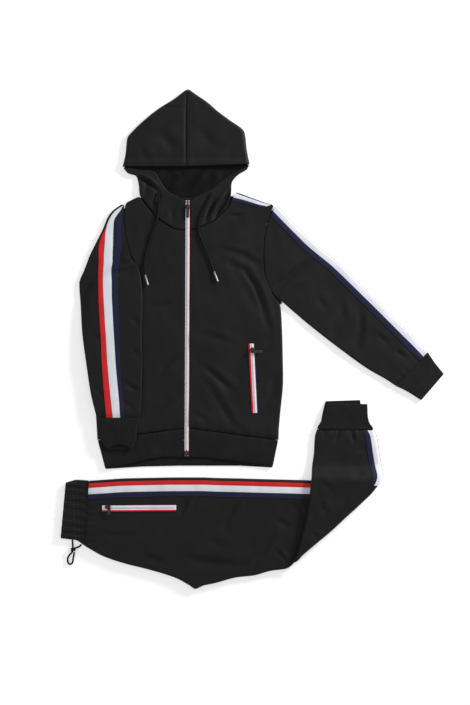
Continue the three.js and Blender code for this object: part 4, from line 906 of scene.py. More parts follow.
left_tapes = [
    striped("lr", "left_sleeve_red", left_sleeve, 4, 5, tape_red, JACKET_AT, rows=(1, 13)),
    striped("lw", "left_sleeve_white", left_sleeve, 5, 6, tape_white, JACKET_AT),
    striped("ln", "left_sleeve_navy", left_sleeve, 6, 7, tape_navy, JACKET_AT),
]
RED_EDGE = 3
right_sleeve.marks.append(RED_EDGE)
right_tapes = [
    striped("rr", "right_sleeve_red", right_sleeve, 0, -1, tape_red, JACKET_AT),
    striped("rw", "right_sleeve_white", right_sleeve, -1, 2, tape_white, JACKET_AT),
    striped("rn", "right_sleeve_navy", right_sleeve, 2, 3, tape_navy, JACKET_AT),
]
shoulder_tapes = [
    striped("sw", "right_shoulder_white", right_front, 2, 3, tape_white, JACKET_AT, rows=(0, 4)),
    striped("sn", "right_shoulder_navy", right_front, 3, 4, tape_navy, JACKET_AT, rows=(0, 4)),
]

# The seams' allowances, dark in the grooves between the pieces


def allowance(name, route, wide, low, high, offset, look=None):
    low = low if callable(low) else level(low)
    high = high if callable(high) else level(high)
    corners = np.array(route, float)
    at = distances_along(corners)
    steps = np.linspace(0, at[-1], max(3, int(at[-1] / 6)))
    line = np.column_stack([np.interp(steps, at, corners[:, k]) for k in range(2)])
    way = np.gradient(line, axis=0)
    way /= np.linalg.norm(way, axis=1, keepdims=True)
    side = np.stack([-way[:, 1], way[:, 0]], axis=1) * wide / 2
    rows = []
    for share in (-1, 1):
        flat = line + share * side
        rows.append(np.column_stack([flat, high(flat[:, 0], flat[:, 1])]))
    top = np.stack(rows, axis=1)
    bottom = top.copy()
    bottom[..., 2] = low(top[..., 0], top[..., 1])
    return dress(between(name, top, bottom, top, False, offset), look or knit_black)


def above(height, more):
    return lambda x, y: height(x, y) + more


LEFT_ARMHOLE = [
    (-135.4, 534), (-135.5, 520), (-135.6, 498), (-133, 476), (-127.5, 454), (-120, 429), (-114, 414),
]
RIGHT_ARMHOLE = [
    (183.4, 529.4), (182, 525), (177.8, 515), (173, 498), (168.6, 482), (166.2, 466), (165.4, 450),
    (165, 436),
    (165.2, 422), (166.3, 408), (167.4, 392), (171, 379), (176, 367), (182, 355),
]
RIGHT_UNDERARM = [(176, 366), (184, 351), (194, 338), (202, 328)]
left_allowance = allowance("left_armhole_allowance", LEFT_ARMHOLE, 3.4, 0.4, 5.6, JACKET_AT)
right_allowances = [
    allowance("right_armhole_allowance", RIGHT_ARMHOLE, 3.8, 0.4, 5.6, JACKET_AT),
    allowance("right_underarm_allowance", RIGHT_UNDERARM, 9, 0.4, 3.4, JACKET_AT),
]
left_cuff_allowance = allowance(
    "left_cuff_allowance", [(-190, 83.8), (-105, 83.8)], 3, above(left_sleeve_under, 1.2),
    above(left_sleeve_under, 5.4), JACKET_AT, rib_black)
right_cuff_allowance = allowance(
    "right_cuff_allowance", [(515.6, 222.2), (451.6, 154.4)], 3, 0.8, 5.6, JACKET_AT, rib_black)
neck_allowance = allowance("back_neck_allowance", [(-98, 557.9), (100, 557.9)], 5, 0.3, 1.6, JACKET_AT)
crown_allowances = [
    allowance("crown_seam_allowance", [(-2, 627), (-2, 757)], 3, 3.4, 7.2, JACKET_AT),
    allowance("crown_tip_allowance", [(-2, 757), (-0.6, 772), (1.6, 787)], 3, 0.4, 7.2, JACKET_AT),
]

# Ribbed cuffs and hem band
RIB_PITCH = 2.7
RIB_HIGH = 0.45
RIB_SPACING = 0.68


def ribbed(surface, pitch=RIB_PITCH, high=RIB_HIGH):
    """Ribs that run along the surface, evenly spaced across its middle row."""
    u = steps_along(surface.points, 1)
    share = u / u[:, -1:]
    count = round(float(np.median(u[:, -1])) / pitch)
    groove = np.abs(np.sin(np.pi * count * share)) ** 0.7 - 1
    surface.points = surface.points + surface.normals * (high * groove)[..., None]
    surface.normals = surface.find_normals()
    return surface


LEFT_CUFF = rows_of(EDGES, [
    (-193, 83.5, -102, 83.5), (-188, 60, -107, 60), (-184, 33, -108, 40), (-171, 15, -117, 15),
])
RIGHT_CUFF = rows_of(EDGES, [
    (518.4, 224.6, 449.4, 151.7), (533, 203, 470, 142), (553, 178, 504, 121),
])
left_cuff = ribbed(tube(
    LEFT_CUFF, lambda x, y: left_sleeve_under(x, y) + SLEEVE_THICK + unevenness(x, y, 0.8, 4.0),
    left_sleeve_under, spacing=RIB_SPACING, arch=12))
right_cuff = ribbed(tube(
    RIGHT_CUFF, lambda x, y: SLEEVE_THICK + unevenness(x, y, 0.8, 5.0), level(0.0), spacing=RIB_SPACING))
left_cuff_rib = dress(shell("left_cuff_rib", left_cuff, RIB, JACKET_AT), rib_black, "left_cuff")
right_cuff_rib = dress(shell("right_cuff_rib", right_cuff, RIB, JACKET_AT), rib_black, "right_cuff")

BAND_TOP = (-192.5, 196.5)
BAND_BOTTOM = (-176.0, 184.0)
BAND_ROLL = 3.5
BAND_SEAM = np.array([(-193, 35.2), (zip_left(60), 60), (zip_right(60), 60), (197, 35.2)])
BAND_FRONT_HEM = np.array([
    (-176, -25), (-132, -17), (-86, -6), (-49, 0), (37, -1), (83, -6), (160, -17), (184, -23),
])
BAND_BACK_HEM = np.array([(-176, -27), (-99, -22), (-17, -20), (114, -20), (184, -24)])


def hem_band_surface():
    rows = []
    middle = JACKET_TOP / 2
    on_front = int((180 - BAND_ROLL) / RIB_SPACING)
    on_back = int(370 / RIB_SPACING)
    for k in np.linspace(0, 1, 15):
        left = BAND_TOP[0] + (BAND_BOTTOM[0] - BAND_TOP[0]) * k
        right = BAND_TOP[1] + (BAND_BOTTOM[1] - BAND_TOP[1]) * k
        bend = BAND_ROLL * (1 - np.cos(ARC))
        rise = middle * np.sin(ARC)
        x = np.concatenate([
            np.linspace(zip_left(30), left + BAND_ROLL, on_front),
            (left + bend)[-2::-1], (left + bend)[1:],
            np.linspace(left + BAND_ROLL, right - BAND_ROLL, on_back)[1:-1],
            (right - bend)[::-1], (right - bend)[1:],
            np.linspace(right - BAND_ROLL, zip_right(30), on_front)[1:],
        ])
        z = np.concatenate([
            np.full(on_front, JACKET_TOP),
            (middle + rise)[-2::-1], (middle - rise)[1:],
            np.zeros(on_back - 2),
            (middle - rise)[::-1], (middle + rise)[1:],
            np.full(on_front - 1, JACKET_TOP),
        ])
        first_under = on_front + len(ARC) - 1
        last_under = first_under + len(ARC) - 1 + on_back - 2 + len(ARC)
        under = np.zeros(len(x), bool)
        under[first_under:last_under] = True
        seam = np.interp(x, *BAND_SEAM.T)
        front_y = seam + (np.interp(x, *BAND_FRONT_HEM.T) - seam) * k
        back_y = BAND_SEAM[0][1] + (np.interp(x, *BAND_BACK_HEM.T) - BAND_SEAM[0][1]) * k
        y = np.where(under, back_y, front_y)
        soft = np.where(z > JACKET_TOP - 0.01, unevenness(x, y, 0.9, 3.0), 0)
        rows.append(np.stack([x, y, z + soft], axis=1))
    points = np.array(rows)
    surface = Surface(points, steps_along(points, 0)[:, 0], [0, points.shape[1] - 1])
    if surface.normals[7, 20, 2] < 0:
        surface = Surface(points[::-1].copy(), surface.where, surface.marks)
    return surface


hem_band = ribbed(hem_band_surface())
hem_band_rib = dress(
    shell("hem_band_rib", hem_band, RIB, JACKET_AT, 0.0, ("first", "last", "a", "b")), rib_black, "hem_band")

# Hood: its back part with the lining that shows in the opening, crown and front ends
HOOD_BACK = rows_of(EDGES, [
    (-96, 558, 92, 558), (-99, 585, 91, 585), (-106, 602, 104, 604), (-134, 619, 131, 622),
    (-135, 630, 131, 633),
    (-121, 684, 116, 690), (-78, 722, 82, 718), (-22, 760, 24, 760),
])
LINING_FOLDS = [
    (10, 576, 43, 614, 4.2, 8), (-40, 574, -10, 597, 3.4, 7), (-6, 604, 14, 620, 2.0, 6),
    (60, 590, 66, 612, 2.4, 8),
    (-70, 594, -52, 614, 2.2, 8), (-30, 612, -14, 600, 1.6, 5), (28, 566, 44, 574, 1.6, 5),
]


def lining_top(x, y):
    return DOUBLE_CLOTH + folds(LINING_FOLDS, x, y) + np.maximum(unevenness(x, y, 1.2, 6.0), -0.4)


hood_back = panel(HOOD_BACK, lining_top, level(0.0))
# The lining's dark colour is painted shade inside the hood.
dress(shell("hood_back_lining", hood_back, DOUBLE_CLOTH, JACKET_AT), lining_painted_shade, "hood_back")

CROWN_FOLDS = [(-57, 752, -3, 753, 1.0, 5), (-60, 700, -20, 650, -0.8, 14), (-2, 625, -2, 770, -1.0, 5)]
CROWN_CREASES = [
    ([(-56, 752), (-30, 751), (-5, 753)], 0.9, 3.5),
    ([(-60, 690), (-35, 672), (-20, 664)], 1.0, 12),
    ([(30, 700), (60, 670)], 0.7, 10),
    ([(-100, 660), (-84, 640)], 0.6, 8),
    ([(84, 652), (108, 668)], 0.6, 8),
]


def crown_top(x, y):
    z = HOOD_TOP + folds(CROWN_FOLDS, x, y) + creases(CROWN_CREASES, x, y) + unevenness(x, y, 1.1, 7.0)
    lip = 1.2 * np.exp(-(((y - 631) / 7) ** 2)) - 0.9 * np.exp(-(((y - 643) / 4) ** 2))
    seam = -0.9 * np.exp(-(((x + 2) / 2.2) ** 2)) * ease(628, 690, y)
    return z + lip + seam


LEFT_CROWN = rows_of(EDGES, [
    (-139, 624, -2.3, 624), (-133, 650, -2.3, 650), (-129, 685, -2.3, 684), (-116, 702, -2.3, 706),
    (-87, 729, -2.3, 734), (-57, 752, -1.8, 757), (-28, 770, 0, 774), (-5, 788, 2, 790),
])
RIGHT_CROWN = rows_of(EDGES, [
    (135, 629, -1.7, 624), (129, 660, -1.7, 655), (124, 698, -1.7, 690), (90, 726, -1.7, 718),
    (65, 745, -1.5, 740), (43, 764, -0.8, 760), (21, 779, 1, 775), (7, 789, 2.6, 790),
])
left_crown = panel(LEFT_CROWN, crown_top, level(0.0), roll_a=8, spacing=3.5)
right_crown = panel(RIGHT_CROWN, crown_top, level(0.0), roll_a=8, spacing=3.5)
dress(
    shell("hood_left_cloth", left_crown, DOUBLE_CLOTH, JACKET_AT, 0.0, ("first", "last", "b")),
    knit_black, "hood_left")
dress(
    shell("hood_right_cloth", right_crown, DOUBLE_CLOTH, JACKET_AT, 0.0, ("first", "last", "b")),
    knit_black, "hood_right")

HOOD_FRONT_TOP = 7.6
HOOD_FRONT_FOLDS = [
    (60, 522, 90, 566, -1.4, 7), (36, 520, 50, 550, -0.8, 6), (-74, 546, -56, 572, -0.9, 10),
    (-96, 582, -78, 602, -0.8, 9), (-36, 504, -28, 548, -0.8, 9), (84, 594, 118, 612, -0.7, 8),
]
HOOD_FRONT_CREASES = [
    ([(58, 510), (72, 538), (92, 570)], 3.4, 4.2),
    ([(38, 504), (49, 532), (60, 556)], 2.5, 3.6),
    ([(50, 582), (66, 592), (92, 606)], 1.3, 5),
    ([(-106, 602), (-82, 590), (-64, 574)], 2.6, 3.8),
    ([(-72, 546), (-58, 566)], 1.3, 5),
    ([(-34, 508), (-30, 530)], 1.1, 5),
    ([(-92, 564), (-84, 590)], 1.0, 6),
]
HOOD_LEFT_ENDS = rows_of((*EDGES, "rollA", "rollB"), [
    (-137, 621, -122, 621, 3, 1), (-126, 609, -100, 617, 3, 2), (-110, 604, -80, 616, 3, 2),
    (-104, 585, -69, 612, 3, 2), (-102, 563, -60, 598, 3, 2), (-90, 549, -52, 586, 1, 2),
    (-76, 531, -43, 573, 1, 2), (-61, 514, -34, 567, 1, 2), (-43, 502, -24, 562, 1, 2),
    (-23, 491, -14, 556, 1, 2), (zip_left(488) - 0.8, 488, zip_left(552) - 0.8, 551, 1, 2),
])
HOOD_RIGHT_ENDS = rows_of((*EDGES, "rollA", "rollB"), [
    (134, 626, 120, 621, 3, 1), (126, 616, 104, 611, 3, 2), (110, 606, 84, 601, 3, 2),
    (96, 587, 70, 591, 3, 2), (95, 566, 58, 580, 3, 2), (87, 537.5, 48, 573, 1, 2),
    (72.5, 523.5, 38, 568, 1, 2), (56.5, 508.5, 30, 564, 1, 2), (43, 501.5, 22, 560, 1, 2),
    (28, 494.5, 15, 557, 1, 2), (zip_right(488) + 0.8, 488, zip_right(552) + 0.8, 551, 1, 2),
])


def hood_front_top(x, y):
    z = HOOD_FRONT_TOP + folds(HOOD_FRONT_FOLDS, x, y) + creases(HOOD_FRONT_CREASES, x, y)
    return z + unevenness(x, y, 1.0, 8.0)


HOOD_FOOT = DOUBLE_CLOTH + SEAM
left_ends = panel(HOOD_LEFT_ENDS, hood_front_top, level(HOOD_FOOT), roll_a=1, roll_b=2, spacing=3)
right_ends = panel(HOOD_RIGHT_ENDS, hood_front_top, level(HOOD_FOOT), roll_a=1, roll_b=2, spacing=3)
dress(
    shell("hood_left_front_cloth", left_ends, DOUBLE_CLOTH, JACKET_AT, HOOD_FOOT),
    knit_black, "hood_left_front")
dress(
    shell("hood_right_front_cloth", right_ends, DOUBLE_CLOTH, JACKET_AT, HOOD_FOOT),
    knit_black, "hood_right_front")

# Zips


def ribbon(name, a, b, low, high, height, thick, offset, steps=48, columns=3):
    """A straight strip from a to b between two distances on its left, on a surface's height."""
    a, b, whole, way, side = directed(a, b)
    t = np.linspace(0, 1, steps + 1)[:, None, None]
    d = np.linspace(high, low, columns)[None, :, None]
    flat = a + (b - a) * t + side * d
    x, y = flat[..., 0], flat[..., 1]
    top = np.stack([x, y, height(x, y)], axis=2)
    surface = Surface(top, np.linspace(0, 1, steps + 1) * whole, [0, columns - 1])
    if surface.normals[0, 0, 2] < 0:
        surface = Surface(top[:, ::-1].copy(), surface.where, surface.marks)
    bottom = surface.points.copy()
    bottom[..., 2] -= thick
    return between(name, surface.points, bottom, surface.points, False, offset)


def row_of_teeth(name, a, b, height, offset, pitch, wide, long, high, stagger):
    """Rounded teeth along a line, set in turn to its left and its right."""
    a, b, whole, way, side = directed(a, b)
    vertices, faces = [], []
    levels = ((1.0, 0.0), (1.0, 0.55), (0.72, 1.0))
    corners = ((-1, -0.6), (-0.6, -1), (0.6, -1), (1, -0.6), (1, 0.6), (0.6, 1), (-0.6, 1), (-1, 0.6))
    count = int(whole // pitch)
    for k in range(count):
        middle = a + way * (k + 0.5) * pitch + side * (stagger if k % 2 else -stagger)
        z = float(height(middle[0], middle[1]))
        base = len(vertices)
        for scale, up in levels:
            for s, t in corners:
                p = middle + side * s * scale * wide / 2 + way * t * scale * long / 2
                vertices.append((p[0], p[1], z + up * high))
        for r in range(2):
            for c in range(8):
                d = (c + 1) % 8
                lower, upper = base + 8 * r, base + 8 * (r + 1)
                faces.append((lower + c, lower + d, upper + d, upper + c))
        faces.append(tuple(base + 16 + c for c in range(8)))
        faces.append(tuple(base + c for c in range(7, -1, -1)))
    return new_object(name, vertices, faces, offset=offset, smooth=True, sharp=math.radians(70))


def bevelled(name, node, look, width, body=BODY):
    """A solid's own form with its edges rounded."""
    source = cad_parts[node]
    mesh = bpy.data.meshes.new(name)
    work = bmesh.new()
    work.from_mesh(source.data)
    work.transform(source.matrix_world)
    bmesh.ops.remove_doubles(work, verts=work.verts, dist=2e-6)
    bmesh.ops.dissolve_limit(work, angle_limit=math.radians(2), verts=work.verts, edges=work.edges)
    sharp = [e for e in work.edges if len(e.link_faces) == 2 and e.calc_face_angle(0) > math.radians(28)]
    bmesh.ops.bevel(
        work, geom=sharp, offset=width * MM, segments=2, profile=0.5, affect="EDGES", clamp_overlap=True)
    bmesh.ops.recalc_face_normals(work, faces=work.faces)
    work.to_mesh(mesh)
    work.free()
    mesh.polygons.foreach_set("use_smooth", np.ones(len(mesh.polygons), bool))
    mesh.set_sharp_from_angle(angle=math.radians(35))
    obj = bpy.data.objects.new(name, mesh)
    scene.collection.objects.link(obj)
    return dress(obj, look, node, body)


ZIP_TAPE_LOW = 5.0
ZIP_TAPE_HIGH = 6.2
CHAIN_HALF = 1.1
CHAIN_RISE = 7.0
ZIP_TOP = 551
CHAIN_TOP = 536
TAPE_IN = CHAIN_HALF + SEAM
TAPE_OUT = ZIP_HALF - SEAM
EDGE_STRIPE = 1.1
zip_low_end = (zip_at(1), 1)
zip_high_end = (zip_at(ZIP_TOP), ZIP_TOP)
zip_pieces = []
for side, node, edge_look in ((1, "zip_tape_left", tape_navy), (-1, "zip_tape_right", tape_red)):
    inner = sorted((side * TAPE_IN, side * (TAPE_OUT - EDGE_STRIPE)))
    outer = sorted((side * (TAPE_OUT - EDGE_STRIPE), side * TAPE_OUT))
    white = ribbon(f"{node}_weave", zip_low_end, zip_high_end, *inner, level(ZIP_TAPE_HIGH),
                   ZIP_TAPE_HIGH - ZIP_TAPE_LOW, JACKET_AT)
    stripe = ribbon(f"{node}_edge", zip_low_end, zip_high_end, *outer, level(ZIP_TAPE_HIGH),
                    ZIP_TAPE_HIGH - ZIP_TAPE_LOW, JACKET_AT)
    zip_pieces += [dress(white, zip_white, node), dress(stripe, edge_look)]
chain = ribbon("zip_chain_bed", (zip_at(14), 14), (zip_at(CHAIN_TOP), CHAIN_TOP), -CHAIN_HALF, CHAIN_HALF,
               level(CHAIN_RISE - 0.9), CHAIN_RISE - 0.9 - ZIP_TAPE_LOW, JACKET_AT)
dress(chain, zip_white, "zip_chain")
teeth = row_of_teeth("zip_teeth", (zip_at(14), 14), (zip_at(CHAIN_TOP), CHAIN_TOP), level(CHAIN_RISE - 1.0),
                     JACKET_AT, pitch=1.45, wide=3.4, long=1.15, high=1.35, stagger=0.55)
dress(teeth, teeth_white)
for node in ("zip_top_stop_left", "zip_top_stop_right"):
    bevelled(f"{node}_metal", node, bright_metal, 0.4)
bevelled("zip_box_metal", "zip_bottom_box", dark_metal, 0.5)
bevelled("zip_slider_metal", "zip_slider", dark_metal, 0.3)
bevelled("zip_pull_metal", "zip_pull", dark_metal, 0.25, "front_zip_tab")


def pocket_zip(name, node, a, b, width, stripes, height, offset):
    """Striped zip tape without its coil, which is made apart; stripes are (look, share) from the left."""
    total = sum(share for look, share in stripes)
    left = width / 2
    made = []
    for k, (look, share) in enumerate(stripes):
        right = left - width * share / total
        strip = ribbon(f"{name}_stripe_{k + 1}", a, b, right, left, height, 1.0, offset, steps=40)
        dress(strip, look, node if look is zip_white else None)
        made.append(strip)
        left = right
    return made


def on_front(lift):
    return lambda x, y: front_top(x, y) + lift


JACKET_POCKET = ((147, 94), (139.5, 243))
jacket_pocket_strips = pocket_zip(
    "jacket_pocket_zip", "jacket_pocket_zip", *JACKET_POCKET, 14.5,
    [(tape_red, 3.6), (zip_white, 7.8), (tape_navy, 3.1)], on_front(1.5), JACKET_AT)
jacket_coil = row_of_teeth("jacket_pocket_coil", JACKET_POCKET[0], JACKET_POCKET[1], on_front(1.3), JACKET_AT,
                           pitch=1.3, wide=3.2, long=0.95, high=0.9, stagger=0.0)
dress(jacket_coil, teeth_white)
bevelled("jacket_pocket_slider_metal", "jacket_pocket_slider", dark_metal, 0.3)
bevelled("jacket_pocket_pull_metal", "jacket_pocket_pull", dark_metal, 0.25, "jacket_pocket_tab")

# Cords


def smooth_route(points, step=1.2):
    """A soft curve through the points, evenly stepped."""
    p = np.array(points, float)
    ends = np.concatenate([[2 * p[0] - p[1]], p, [2 * p[-1] - p[-2]]])
    out = []
    for k in range(1, len(ends) - 2):
        a, b, c, d = ends[k - 1:k + 3]
        n = max(2, int(np.linalg.norm(c - b) / step))
        t = np.linspace(0, 1, n, endpoint=False)[:, None]
        square, cube = 2 * a - 5 * b + 4 * c - d, 3 * b - a - 3 * c + d
        out.append(0.5 * (2 * b + (c - a) * t + square * t ** 2 + cube * t ** 3))
    out.append(p[-1:])
    return np.concatenate(out)


def rod(name, line, radii, offset, sides=16):
    """A round tube along a line of points, closed at both ends."""
    way = np.gradient(line, axis=0)
    way /= np.linalg.norm(way, axis=1, keepdims=True)
    up = np.array([0.0, 0.0, 1.0])
    rings = []
    for p, w, r in zip(line, way, radii):
        side = np.cross(w, up)
        side = side / max(np.linalg.norm(side), 1e-6)
        up = np.cross(side, w)
        turn = 2 * np.pi * np.arange(sides) / sides
        rings.append(p + r * (np.cos(turn)[:, None] * side + np.sin(turn)[:, None] * up))
    rings = np.array(rings)
    count = len(rings)
    faces = []
    for i in range(count - 1):
        for j in range(sides):
            k = (j + 1) % sides
            faces.append((i * sides + j, i * sides + k, (i + 1) * sides + k, (i + 1) * sides + j))
    faces.append(tuple(range(sides - 1, -1, -1)))
    faces.append(tuple((count - 1) * sides + j for j in range(sides)))
    run = distances_along(line)
    round_it = 2 * np.pi * np.max(radii) / sides * np.minimum(np.arange(sides), sides - np.arange(sides))
    uv = np.stack([np.tile(round_it, count), np.repeat(run, sides)], axis=1)
    return new_object(name, rings.reshape(-1, 3), faces, uv, offset=offset)


def cord_piece(name, line, radius, offset, node):
    radii = np.full(len(line), radius)
    obj = dress(rod(name, line, radii, offset), cord_black, node)
    return obj


CORD = 2.0
ON_HOOD = HOOD_FRONT_TOP + 0.5 + CORD
ON_FRONT = JACKET_TOP + 0.5 + CORD
LEFT_CORD = [
    (-60, 568, ON_HOOD), (-61, 545, ON_HOOD), (-62, 525, ON_HOOD), (-65, 507, ON_FRONT + 0.5),
    (-71, 490, ON_FRONT),
    (-77, 475, ON_FRONT), (-81, 461, ON_FRONT), (-86, 446, ON_FRONT), (-89, 432, ON_FRONT),
    (-91, 418, ON_FRONT),
    (-91, 405, ON_FRONT), (-90, 391, ON_FRONT),
]
RIGHT_CORD = [
    (53, 566, ON_HOOD), (46, 551, ON_HOOD), (38, 537, ON_HOOD), (31, 523, ON_HOOD), (27, 509, ON_HOOD),
    (25, 497, ON_HOOD), (25, 484, ON_FRONT + 0.4), (28, 474, ON_FRONT), (33, 463, ON_FRONT),
    (39, 450, ON_FRONT),
    (44, 438, ON_FRONT), (49, 424, ON_FRONT), (53, 411, ON_FRONT), (58, 398, ON_FRONT),
]
AGLET_RADIUS = 2.6


def aglet(name, end, tip, node):
    """A rolled metal tip with a collar at each end."""
    way = np.array([tip[0] - end[0], tip[1] - end[1], 0.0])
    way /= np.linalg.norm(way)
    start = np.array(end, float) + way * 2 * SEAM
    start[2] += AGLET_RADIUS - CORD
    marks = np.array([0, 0.35, 0.9, 1.6, 2.1, 2.6, 12, 20.4, 20.9, 21.4, 22.1, 22.7, 23])
    shape = np.array([0.86, 1, 1, 1, 0.9, 0.86, 0.86, 0.86, 0.9, 1, 1, 0.96, 0.8]) * AGLET_RADIUS
    line = start + marks[:, None] * way
    return dress(rod(name, line, shape, JACKET_AT, sides=20), bright_metal, node)


for side, route, tip in (("left", LEFT_CORD, (-83, 366)), ("right", RIGHT_CORD, (68, 372))):
    metal = aglet(f"hood_cord_{side}_aglet", route[-1], tip, f"hood_cord_{side}_end")
    name = f"hood_cord_{side}"
    cord_piece(f"{name}_braid", smooth_route(route), CORD, JACKET_AT, name)

# Trousers
LEG_MARKS = ("red", "white", "navy", "end")
THIGH = rows_of(EDGES, [
    (-0.5, 142, -9, 1), (30, 144, 31, -21), (78, 147, 79, -37), (127, 148, 127, -49), (184, 149, 185, -67),
    (214, 149, 215, -83), (228, 149, 228, -91), (244, 149, 244, -84), (268, 148, 268, -79),
    (317, 147, 317, -66),
    (353, 146, 353, -62), (390, 145, 390, -52), (430, 144, 424, -47), (490, 142, 456, -14),
], red=2.5, white=15, navy=29, end=40)
THIGH_FOLDS = [
    (214, 104, 194, 69, -1.2, 8), (317, 90, 285, 43, -1.2, 9), (396, 20, 350, -36, -1.3, 9),
    (205, -30, 330, -35, -1.2, 14), (405, -25, 435, -30, 1.6, 12), (60, 0, 330, 10, 0.8, 30),
]
THIGH_CREASES = [
    ([(215, 106), (206, 90), (193, 68)], 1.3, 5),
    ([(232, 102), (224, 88), (219, 74)], 0.7, 6),
    ([(318, 92), (304, 70), (285, 42)], 1.3, 6),
    ([(397, 21), (378, -8), (349, -37)], 1.4, 6),
    ([(206, -24), (250, -34), (334, -40)], 1.0, 10),
    ([(60, 20), (110, 28)], 0.7, 8),
    ([(120, -20), (160, -34)], 0.8, 8),
    ([(256, 10), (300, 2)], 0.6, 10),
    ([(404, 60), (430, 40)], 0.8, 7),
    ([(440, 90), (462, 66)], 0.8, 7),
    ([(30, 30), (58, 22)], 0.6, 7),
    ([(402, -6), (418, -24), (428, -40)], 1.0, 5),
]


def thigh_top(x, y):
    z = LEG_TOP + folds(THIGH_FOLDS, x, y) + creases(THIGH_CREASES, x, y) + unevenness(x, y, 1.1, 9.0)
    seam = np.interp(y, [1, 142], [-9, -0.5])
    d = np.maximum(x - seam, 0)
    gathers = 0.8 * np.sin(2 * np.pi * (y + 1.5 * np.sin(y / 9)) / 14.5) * np.exp(-d / 16)
    return z + gathers - 1.2 * np.exp(-((d / 4.0) ** 2))


LEG_FOOT = LEG_CORE + SEAM
thigh = panel(THIGH, thigh_top, level(LEG_FOOT), roll_a=5, roll_b=5, marks=LEG_MARKS)
leg_cloth = dress(shell("leg_cloth", thigh, CLOTH, TROUSERS_AT, LEG_FOOT), knit_black, "leg")
leg_tapes = [
    striped("tr", "leg_red", thigh, 2, 3, tape_red, TROUSERS_AT),
    striped("tw", "leg_white", thigh, 3, 4, tape_white, TROUSERS_AT),
    striped("tn", "leg_navy", thigh, 4, 5, tape_navy, TROUSERS_AT),
]

LEG_END = (490, 142, 0.22)
THIGH_CORE = rows_of(EDGES, [
    *[(row["ax"] + 1, row["ay"], row["bx"] + 1, row["by"]) for row in THIGH],
    (503, 141, 468, -2), (560, 141, 524, 46), (600, 141, 588, 107),
])


def beyond_leg(x, y):
    return x - LEG_END[0] + LEG_END[2] * (LEG_END[1] - y)


def hidden_leg_top(x, y):
    return LEG_CORE + (LEG_TOP - LEG_CORE) * ease(3, 11, beyond_leg(x, y))


hidden_leg = tube(THIGH_CORE, hidden_leg_top, level(0.0), step=8, roll_a=CORE_ROLL, roll_b=CORE_ROLL, spacing=9)
hidden_leg_cloth = dress(
    shell("hidden_leg_cloth", hidden_leg, CLOTH, TROUSERS_AT), knit_black, "hidden_leg")

SHIN_DROP = (143, 180)


def shin_under(x, y):
    return (LEG_TOP + 1.5) * (1 - ease(*SHIN_DROP, y))


SHIN = rows_of(EDGES, [
    (612, 251, 490, 253), (618, 237, 485, 236), (623, 205, 483, 202), (628, 175, 479, 172),
    (632, 154, 477, 145),
], navy=14, end=25)
SHIN += rows_of(EDGES, [
    (613, 121, 474, 118), (584, 92, 470, 88), (549, 60, 465, 58), (520, 33, 459, 32), (490, 8, 453, 8),
    (462, -16, 445, -16), (446, -31, 439, -32),
], navy=10, end=14)
SHIN_FOLDS = [
    (545, 248, 528, 222, -1.6, 5), (566, 246, 570, 226, -1.6, 5), (498, 190, 482, 60, -1.0, 10),
    (560, 180, 520, 70, 1.0, 30),
]
SHIN_CREASES = [
    ([(541, 249), (534, 238), (528, 224)], 1.0, 3.5),
    ([(565, 248), (567, 238), (570, 228)], 1.0, 3.5),
    ([(510, 249), (506, 238)], 0.8, 3.5),
    ([(596, 214), (574, 204)], 0.7, 6),
    ([(500, 140), (520, 122)], 0.8, 7),
    ([(560, 118), (540, 96)], 0.9, 7),
    ([(494, 96), (510, 70)], 0.7, 7),
    ([(590, 160), (566, 150)], 0.8, 7),
    ([(480, 30), (496, 18)], 0.7, 5),
]
SHIN_CORE = rows_of(EDGES, [(row["ax"] - 12, row["ay"], row["bx"] + 2.2, row["by"]) for row in SHIN[:10]])


def shin_top(x, y):
    z = shin_under(x, y) + LEG_TOP + folds(SHIN_FOLDS, x, y) + creases(SHIN_CREASES, x, y)
    d = np.maximum(252 - y, 0)
    gathers = 0.7 * np.sin(2 * np.pi * (x + 1.2 * np.sin(x / 7)) / 11) * np.exp(-d / 13)
    return z + unevenness(x, y, 1.1, 10.0) + gathers - 1.4 * np.exp(-((d / 4) ** 2))


def shin_foot(x, y, place):
    return np.where((place < 0.5) & (beyond_leg(x, y) > 0), 0.0, shin_under(x, y) + 1.5)


hidden_shin = tube(
    SHIN_CORE, above(shin_under, LEG_CORE), shin_under, step=8, roll_a=CORE_ROLL, roll_b=CORE_ROLL, spacing=9)
hidden_shin_cloth = dress(
    shell("hidden_shin_cloth", hidden_shin, CLOTH, TROUSERS_AT), knit_black, "hidden_shin")
shin = panel(SHIN, shin_top, shin_foot, roll_a=6, roll_b=3, marks=("navy", "end"))
shin.marks.append(RED_EDGE)
shin_cloth = dress(shell("shin_cloth", shin, CLOTH, TROUSERS_AT), knit_black, "shin")
SHIN_TAPE_ROWS = (0, 4.75)
shin_tapes = [
    striped("hr", "shin_red", shin, 0, -1, tape_red, TROUSERS_AT, rows=SHIN_TAPE_ROWS),
    striped("hw", "shin_white", shin, -1, 2, tape_white, TROUSERS_AT, rows=SHIN_TAPE_ROWS),
    striped("hn", "shin_navy", shin, 2, 3, tape_navy, TROUSERS_AT, rows=SHIN_TAPE_ROWS),
]

